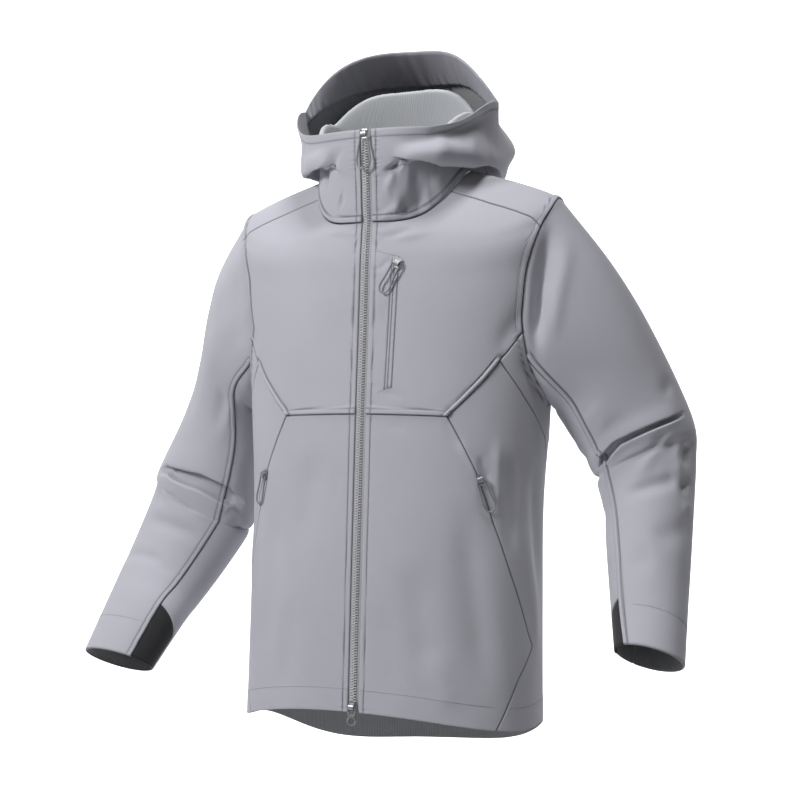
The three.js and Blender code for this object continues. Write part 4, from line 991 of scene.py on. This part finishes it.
SIDES = (("left", None), ("right", "mirror"))
for side_name, turned in SIDES:
    for kind, flat, area in (
        ("front_chest", (0.25, 0.32), 0.055),
        ("front_lower", (0.24, 0.4), 0.071),
        ("side_panel", (0.2, 0.5), 0.062),
    ):
        name = kind + "_" + side_name
        panel = shell(name + "_cloth", [body_grid(kind, turned)], body, body_seams(kind, turned))
        finish_piece(panel, shell_cloth, [name])
back_grids = [body_grid("back"), body_grid("wing"), body_grid("wing", "wrap")]
back_seams = body_seams("back") + body_seams("wing") + body_seams("wing", "wrap")
back = shell("back_cloth", back_grids, body, back_seams)
finish_piece(back, shell_cloth, ["back_body"])
yoke = shell("yoke_cloth", [body_grid("yoke")], body, body_seams("yoke"))
finish_piece(yoke, shell_cloth, ["yoke"])

# Hood, its knit lining and the brim's facing

# A hood side's columns: COLUMNS_FRONT of them up to the shoulder, and COLUMNS in all up to its back seam
COLUMNS_FRONT, COLUMNS = 6, 10
NECK_BAND = ("band", 9.0)
RIM_EDGE = ("hem", 12)


def hood_columns(at, column):
    """The angles of columns at a ring; the first ones draw closer together as the ring shrinks."""
    start = angle_at(PLACKET_EDGE, smooth(*HOOD_TABLE, at))
    share = np.clip(column / COLUMNS_FRONT, 0, 1)
    rest = np.clip((column - COLUMNS_FRONT) / (COLUMNS - COLUMNS_FRONT), 0, 1)
    return start + (NECK_SHOULDER[0] - start) * share + (HOOD_SEAM - NECK_SHOULDER[0]) * rest


def hood_grid(rows, columns):
    grid = grid_of(columns, rows)
    for j, at in enumerate(rows):
        grid[j, :, 0] = hood_columns(at, columns)
    return grid


def hood_line(segments, place_at):
    """A line on the hood's side, its ring and column given at each share of its length."""

    def at(s):
        share = np.asarray(s) / segments
        ring, column = place_at(share)
        ring = ring + 0 * share
        return np.stack([hood_columns(ring, column), ring], -1)

    return Line(segments, at)


hood_rows = np.concatenate([
    [0.0, 0.03, 0.07, 0.12], np.arange(0.2, 3.2, 0.09), np.arange(3.2, 4.7, 0.05), np.arange(4.7, 6.9, 0.09),
    [6.93, 6.97, RIM],
])
hood_side = hood_grid(hood_rows, ticks(COLUMNS, 330, 2.6))
back_angles = HOOD_SEAM + (360 - 2 * HOOD_SEAM) * ticks(12, 300) / 12
hood_seam = even([(HOOD_SEAM, 0), (HOOD_SEAM, RIM)], 40)
rim_back = even([(HOOD_SEAM, RIM), (360 - HOOD_SEAM, RIM)], 20)
neck_edge = even([(HOOD_SEAM, 0), (360 - HOOD_SEAM, 0)], 20)
side_seams = [
    (hood_line(30, lambda share: (share * RIM, 0)), PLACKET),
    (hood_seam, PLAIN),
    (hood_line(20, lambda share: (RIM, share * COLUMNS)), RIM_EDGE),
    (hood_line(20, lambda share: (0, share * COLUMNS)), NECK_BAND),
]
for side_name, turned in SIDES:
    name = "hood_side_" + side_name
    piece = shell(name + "_cloth", [turn_grid(hood_side, turned)], hood, turn_seams(side_seams, turned))
    finish_piece(piece, shell_cloth, [name])
centre_seams = [(hood_seam, PLAIN), (hood_seam.wrap(), PLAIN), (rim_back, RIM_EDGE), (neck_edge, NECK_BAND)]
hood_centre = shell("hood_center_cloth", [grid_of(back_angles, hood_rows)], hood, centre_seams)
finish_piece(hood_centre, shell_cloth, ["hood_center"])

# The lining's upper edge is higher at the sides of the neck
LINING_START, LINING_ROWS, LINING_RISE = 2, (0.5, 2.0), 0.9
LINING_HIGH, LINING_SPREAD = 95, 45
lining_rows = np.linspace(*LINING_ROWS, 40)
lining_half = hood_grid(lining_rows, np.linspace(LINING_START, COLUMNS, 60))
lining_back = grid_of(np.linspace(HOOD_SEAM, 360 - HOOD_SEAM, 80)[1:-1], lining_rows)
lining_grid = np.concatenate([lining_half, lining_back, turn_grid(lining_half[:, ::-1], "wrap")], axis=1)
turned_away = np.abs(lining_grid[..., 0] - 360 * (lining_grid[..., 0] > 180))
share = (lining_grid[..., 1] - LINING_ROWS[0]) / (LINING_ROWS[1] - LINING_ROWS[0])
lining_grid[..., 1] += LINING_RISE * bell(turned_away - LINING_HIGH, LINING_SPREAD) * share
lining = shell("neck_lining_knit", [lining_grid], hood, sunk=CLOTH + LAYER_GAP, thickness=KNIT)
finish_piece(lining, knit_cloth, ["neck_lining"])

BRIM_START = 8.0
brim_rows = np.linspace(6.62, RIM, 12)
GATHER_RISE, GATHER_ANGLE, GATHER_ROWS = 0.9, 4.1, 0.2
RIPPLE_RISE, RIPPLE_ANGLE = 0.35, 9.3


def brim_gathers(domain):
    """Small gathers that rise from the facing's lower edge."""
    angle, at = domain.T
    low = 1 - smoothstep((at - brim_rows[0]) / GATHER_ROWS)
    gathers = GATHER_RISE * low * (1 + pucker(angle, GATHER_ANGLE))
    return gathers + RIPPLE_RISE * pucker(angle, RIPPLE_ANGLE) * (1 - low)


brim_end = hood_columns(RIM, np.array(BRIM_START))
brim_grid = grid_of(np.linspace(brim_end, 360 - brim_end, 150), brim_rows)
brim = shell("brim_facing_cloth", [brim_grid], hood, (), CLOTH + LAYER_GAP, FACING, brim_gathers)
finish_piece(brim, facing_cloth, ["brim_facing"])

# Sleeves

INSERT_TURN = 190
INSERT_ROWS = (7.95, 8.4)
SLEEVE_BAND = ("band", 7.5, 0.35)
CUFF_HEM = ("stitched", 52)
CUFF_ROWS = [8.965, 8.985, CUFF]


def sleeve_turns(start, end):
    return ticks(1, abs(end - start)) * (end - start) + start


def insert_top(turns):
    share = np.clip((turns - SEAM_FRONT) / (INSERT_TURN - SEAM_FRONT), 0, 1)
    return INSERT_ROWS[0] + (INSERT_ROWS[1] - INSERT_ROWS[0]) * share


def grid_between(turns, low, high, shares):
    """A grid whose rows lie at shares of the way from low to high."""
    grid = grid_of(turns, shares)
    grid[..., 1] = low + (high - low) * shares[:, None]
    return grid


sleeve_rows = np.concatenate([
    [0, 0.012, 0.03, 0.055, 0.085, 0.12, 0.16, 0.21], np.arange(0.28, 3.2, 0.075), np.arange(3.2, 4.5, 0.022),
    np.arange(4.5, CUFF - 0.03, 0.075), CUFF_ROWS,
])
outer_grid = grid_of(sleeve_turns(SEAM_BACK, SEAM_FRONT + 360), sleeve_rows)
inner_front = sleeve_turns(SEAM_FRONT, INSERT_TURN)
inner_tail = sleeve_turns(INSERT_TURN, SEAM_BACK)
inner_turns = np.concatenate([inner_front, inner_tail[1:]])
upper_rows = np.append(sleeve_rows[sleeve_rows < INSERT_ROWS[0]] / INSERT_ROWS[0], 1.0)
inner_grid = grid_between(inner_turns, 0, insert_top(inner_turns), upper_rows)
tail_grid = grid_of(inner_tail, np.concatenate([np.linspace(INSERT_ROWS[1], 8.95, 8), CUFF_ROWS]))
insert_grid = grid_between(inner_front, insert_top(inner_front), CUFF, np.linspace(0, 1, 16))
back_seam = (even([(SEAM_BACK, 0), (SEAM_BACK, CUFF)], 60), PLAIN)
outer_seams = [
    (even([(SEAM_BACK, 0), (SEAM_FRONT + 360, 0)], 60), PLAIN),
    (even([(SEAM_FRONT + 360, 0), (SEAM_FRONT + 360, CUFF)], 60), SLEEVE_BAND),
    back_seam,
    (even([(SEAM_BACK, CUFF), (SEAM_FRONT + 360, CUFF)], 40), CUFF_HEM),
]
inner_seams = [
    (even([(SEAM_FRONT, 0), (SEAM_BACK, 0)], 30), PLAIN),
    (even([(SEAM_FRONT, 0), (SEAM_FRONT, CUFF)], 60), PLAIN),
    back_seam,
    (even([(INSERT_TURN, CUFF), (SEAM_BACK, CUFF)], 20), CUFF_HEM),
]
for side_name in ("left", "right"):
    for kind, grids, seams, material, slot, flat, area in (
        ("sleeve_outer_", [outer_grid], outer_seams, shell_cloth, "shell", (0.34, 0.66), 0.18),
        ("sleeve_inner_", [inner_grid, tail_grid], inner_seams, shell_cloth, "shell", (0.15, 0.42), 0.044),
        ("cuff_insert_", [insert_grid], (), stretch_cloth, "stretch", (0.07, 0.06), 0.0027),
    ):
        piece = shell(kind + side_name + "_cloth", grids, sleeves[side_name], seams)
        finish_piece(piece, material, [kind + side_name])

# Chest pocket: its strip over a narrow dark zip

CHEST_ZIP = np.array([[33, 14], [35.5, 98], [38, 182]])
STRIP_WIDTH = 11
STRIP_RISE = 1.2
ZIP_LINE = 2.2


def angle_of(x, ring):
    return angle_at(x, smooth(*BODY_TABLE, ring))


def zip_x(ring):
    return smooth(CHEST_ZIP[:, 1], CHEST_ZIP[:, 0], ring)


def pocket_grid(start, end, shares):
    """A grid along the pocket's zip, from start to end beside it."""
    rings = np.linspace(CHEST_ZIP[0, 1], CHEST_ZIP[-1, 1], 60)
    ring, offset = np.meshgrid(rings, start + (end - start) * np.asarray(shares), indexing="ij")
    return np.stack([angle_of(zip_x(ring) + offset, ring), ring], -1)


def pocket_line(offset):
    def at(s):
        ring = CHEST_ZIP[0, 1] + (CHEST_ZIP[-1, 1] - CHEST_ZIP[0, 1]) * np.asarray(s, float) / 20
        return np.stack([angle_of(zip_x(ring) + offset, ring), ring], -1)

    return Line(20, at)


def level_line(segments, *places):
    """A line between two places given as (x, ring)."""
    return even([(angle_of(x, ring), ring) for x, ring in places], segments)


# The bars of stitches that close the pocket's ends
for places in (((16, 191), (52, 181)), ((22, 9), (46, 19))):
    STITCH_ROWS.append(("front_chest_left_cloth", body, level_line(10, *places), 0.0))
edge_shares = [0, 0.05, 0.1, 0.16, 0.24, 0.34, 0.5, 0.66, 0.72, 0.78, 0.84, 0.9, 0.95, 1]
chest_zip = shell("chest_zip_line", [pocket_grid(-ZIP_LINE, -0.2, [0, 0.3, 0.6, 1])], body, (), -0.7, 0.5)
finish_piece(chest_zip, tape_cloth, [])
strip_seams = [(pocket_line(0), ("stitched", 5.2)), (pocket_line(STRIP_WIDTH), ("sink", 3.4))]
for x, ring in CHEST_ZIP[[0, -1]]:
    strip_seams.append((level_line(6, (x, ring), (x + STRIP_WIDTH, ring)), ("sink", 3.0)))
strip_grid = pocket_grid(0, STRIP_WIDTH, edge_shares)
strip = shell("chest_pocket_strip_cloth", [strip_grid], body, strip_seams, -STRIP_RISE, STRIP_RISE - 0.4)
finish_piece(strip, shell_cloth, ["chest_pocket_strip"])

# Main zip: a woven tape behind the panels, and two rows of moulded teeth between their edges

TAPE_HALF = 14
TEETH_HALF = 4.2
TAPE_BACK = CLOTH + 0.3
TAPE_THICKNESS = 1.0
TAPE_MARGIN = 6
TOOTH_PITCH = 3.4
TOOTH_OUT = 0.4
TOOTH_IN = 1.5
TOOTH_ROOT = 4.0
TOOTH_HEAD = 0.7
ROOT_BEVEL = 0.4
HEAD_BEVEL = 0.35
ZIP_START = HEM_FRONT + 2


def front_at(z):
    """The depth of the cloth on the centre front, and how far it has turned back at the tape's edge."""
    at = smooth(HOOD_RINGS[:, FRONT_Z], HOOD_KEY, z)
    ring = np.where((z <= NECK_FRONT)[..., None], smooth(*BODY_TABLE, z), smooth(*HOOD_TABLE, at))
    angle = angle_at(TAPE_HALF + TAPE_MARGIN, ring)
    share = 1 - np.abs(np.cos(np.radians(angle))) ** (2 / ring[..., SQUARE])
    return ring[..., FRONT_Y], (ring[..., SIDE_Y] - ring[..., FRONT_Y]) * share


def box_rows(corners):
    """Faces of boxes given as eight corners each."""
    base = 8 * np.arange(len(corners))[:, None, None]
    sides = np.array([[0, 1, 2, 3], [7, 6, 5, 4], [0, 4, 5, 1], [1, 5, 6, 2], [2, 6, 7, 3], [3, 7, 4, 0]])
    return corners.reshape(-1, 3), (base + sides).reshape(-1, 4)


tape_z = np.linspace(ZIP_START, ZIP_TOP, 150)
tape_y, tape_turn = front_at(tape_z)
tape_x = np.array([-TAPE_HALF, -9, -6.5, -TEETH_HALF, -1.2, 1.2, TEETH_HALF, 6.5, 9, TAPE_HALF])
bow = np.clip((np.abs(tape_x) - TEETH_HALF) / (TAPE_HALF - TEETH_HALF), 0, 1)
front_y = tape_y[:, None] + TAPE_BACK + tape_turn[:, None] * bow[None, :]
loop_x = np.concatenate([tape_x, tape_x[::-1]])
loop_y = np.concatenate([front_y, front_y[:, ::-1] + TAPE_THICKNESS], axis=1)
tape_points = np.stack(np.broadcast_arrays(loop_x, loop_y, tape_z[:, None]), -1)
rows, columns = loop_y.shape
ids = np.arange(rows * columns).reshape(rows, columns)
after = np.roll(ids, -1, axis=1)
tape_faces = np.stack([ids[:-1], after[:-1], after[1:], ids[1:]], -1).reshape(-1, 4)
ends = []
for row, step in ((0, 1), (rows - 1, -1)):
    for i in range(len(tape_x) - 1):
        quad = [ids[row, i], ids[row, columns - 1 - i], ids[row, columns - 2 - i], ids[row, i + 1]]
        ends.append(quad[::step])
tape = mesh_object("main_zip_tape", tape_points.reshape(-1, 3), np.concatenate([tape_faces, np.array(ends)]))
finish_piece(tape, tape_cloth, ["main_zip"])

tooth_z = np.arange(ZIP_START + 2, ZIP_TOP - 1, TOOTH_PITCH / 2)
tooth_y, _ = front_at(tooth_z)
side_sign = np.where(np.arange(len(tooth_z)) % 2 == 0, 1.0, -1.0)
root, head = side_sign * TOOTH_ROOT, -side_sign * TOOTH_HEAD
front_root, front_head = root - side_sign * ROOT_BEVEL, head + side_sign * HEAD_BEVEL
corners = np.zeros((len(tooth_z), 8, 3))
for k, (x, half, y) in enumerate([
    (root, 0.62, TOOTH_IN), (head, 0.8, TOOTH_IN), (head, -0.8, TOOTH_IN), (root, -0.62, TOOTH_IN),
    (front_root, 0.4, -TOOTH_OUT), (front_head, 0.5, -TOOTH_OUT),
    (front_head, -0.5, -TOOTH_OUT), (front_root, -0.4, -TOOTH_OUT),
]):
    corners[:, k] = np.stack([x, tooth_y + y, tooth_z + half], -1)
flipped = side_sign < 0
corners[flipped] = corners[flipped][:, [3, 2, 1, 0, 7, 6, 5, 4]]
teeth = mesh_object("main_zip_teeth", *box_rows(corners))
teeth.data.polygons.foreach_set("use_smooth", np.zeros(len(teeth.data.polygons), bool))
finish_piece(teeth, zip_plastic, [])

# Topstitching: one small tapered stitch after another along each row

STITCH_PITCH = 3.2
STITCH_LENGTH = 2.3
STITCH_HALF = 0.28
MOST_AWAY = 1.6
# The bottom and the top of a stitch: its height over the cloth and its size
STITCH_ENDS = ((-0.1, 1.0), (0.32, 0.6))


def stitches_on(tree, skin, line, inset):
    """Places, directions and normals of the stitches of one row, on the panel's own mesh in millimetres."""
    places = line.at(np.linspace(0, line.segments, line.segments * 12 + 1))
    path = skin.point(*places.T)
    steps = np.linalg.norm(np.diff(path, axis=0), axis=1)
    travelled = np.concatenate([[0], np.cumsum(steps)])
    at = np.arange(STITCH_PITCH, travelled[-1] - STITCH_PITCH, STITCH_PITCH)
    here = interpolate(at, travelled, path)
    along = unit(interpolate(at + 1, travelled, path) - here)
    normal = skin.normal(*interpolate(at, travelled, places).T)
    inward = unit(np.cross(normal, along))
    found = []
    for sign in (1, -1):
        row = []
        for p, n, d, w in zip(here, normal, along, inward):
            hit, face_normal, _, away = tree.find_nearest(Vector(p + sign * w * inset + n * 0.5))
            if hit is not None and away < MOST_AWAY + 0.06 * inset:
                row.append((np.array(hit), d, np.array(face_normal)))
        found.append(row)
    return max(found, key=len)


def outer_tree(name):
    """A panel's outer face in millimetres, for finding the nearest place on it."""
    mesh = bpy.data.objects[name].data
    points = np.zeros(len(mesh.vertices) * 3, np.float32)
    mesh.vertices.foreach_get("co", points)
    points = points.reshape(-1, 3) * 1000 + NAPE
    faces = [tuple(face.vertices) for face in mesh.polygons if face.material_index == 0]
    return BVHTree.FromPolygons([Vector(p) for p in points], faces)


trees = {name: outer_tree(name) for name in sorted({row[0] for row in STITCH_ROWS})}
stitch_corners = []
for name, skin, line, inset in STITCH_ROWS:
    for place_at, along, normal in stitches_on(trees[name], skin, line, inset):
        across = np.cross(normal, along)
        across = across / max(np.linalg.norm(across), 1e-6)
        ends = []
        for height, shrink in STITCH_ENDS:
            for side_way, end_way in ((1, 1), (-1, 1), (-1, -1), (1, -1)):
                lengthwise = along * end_way * STITCH_LENGTH / 2 * (0.7 + 0.3 * shrink)
                sideways = across * side_way * STITCH_HALF * shrink
                ends.append(place_at + lengthwise + sideways + normal * height)
        stitch_corners.append(ends)
stitching = mesh_object("topstitching", *box_rows(np.array(stitch_corners)))
finish_piece(stitching, thread, [])

# Carried-over fittings

for name, object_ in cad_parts.items():
    if object_.hide_render:
        continue
    object_.data.materials.clear()
    metal = name.endswith("_slider") or name == "lower_pull"
    object_.data.materials.append(slider_metal if metal else pull_cord)

# Studio

STAGE_DROP = 1.6
STAGE_HALF = 6.0
WALL_AWAY = 3.4
WALL_TOP = 5.0
BEND_RADIUS = 1.4
GLOW = 1.1
GLOW_START = 0.9
GLOW_FULL = 0.25


def floor_material():
    """A pale floor whose far part and wall glow as a lit backdrop does."""
    material, tree, shader, where = new_material("studio_floor", (0.8, 0.8, 0.8), 0.9)
    part = node(tree, "ShaderNodeSeparateXYZ", Vector=where)
    scale = node(tree, "ShaderNodeMapRange", Value=part.outputs["Y"], From_Min=GLOW_START, From_Max=WALL_AWAY)
    glow = ramp_of(tree, scale.outputs["Result"], (0, (0, 0, 0, 1)), (GLOW_FULL, (1, 1, 1, 1)))
    fill(tree, shader, Emission_Color=glow, Emission_Strength=GLOW)
    return material


def add_stage():
    """A pale floor that sweeps up behind the jacket."""
    profile = [(-STAGE_HALF, 0.0), (-2.0, 0.0), (0.0, 0.0), (1.0, 0.0), (WALL_AWAY - BEND_RADIUS, 0.0)]
    for t in np.linspace(0, math.pi / 2, 17)[1:]:
        profile.append((WALL_AWAY + BEND_RADIUS * (math.sin(t) - 1), BEND_RADIUS * (1 - math.cos(t))))
    profile.append((WALL_AWAY, WALL_TOP))
    corners = [(across, away, up) for away, up in profile for across in (-STAGE_HALF, STAGE_HALF)]
    faces = [(2 * i, 2 * i + 1, 2 * i + 3, 2 * i + 2) for i in range(len(profile) - 1)]
    mesh = bpy.data.meshes.new("studio_floor")
    mesh.from_pydata(corners, [], faces)
    stage = bpy.data.objects.new("studio_floor", mesh)
    stage.location = from_camera(0, 0, -CAMERA_HEIGHT - STAGE_DROP)
    stage.rotation_euler = (0, 0, VIEW_AZIMUTH)
    mesh.materials.append(floor_material())
    bpy.context.scene.collection.objects.link(stage)


def add_light(name, place_at, size, power):
    data = bpy.data.lights.new(name, "AREA")
    data.shape = "RECTANGLE"
    data.size, data.size_y, data.energy = size[0], size[1], power
    light = bpy.data.objects.new(name, data)
    light.location = place_at
    light.rotation_euler = (from_camera(0, 0, 0) - place_at).to_track_quat("-Z", "Y").to_euler()
    bpy.context.scene.collection.objects.link(light)


add_stage()
add_light("key", from_camera(-2.1, 1.35, 1.5), (0.6, 0.8), 66)
add_light("top", from_camera(0.25, 0.5, 2.45), (0.6, 0.6), 40)
add_light("front_fill", from_camera(-0.3, 2.7, 0.6), (1.0, 1.0), 3.5)
world = bpy.data.worlds.new("studio")
world.use_nodes = True
world.node_tree.nodes["Background"].inputs["Color"].default_value = (1, 1, 1, 1)
world.node_tree.nodes["Background"].inputs["Strength"].default_value = 0.05
bpy.context.scene.world = world
bpy.context.scene.view_settings.view_transform = "Standard"
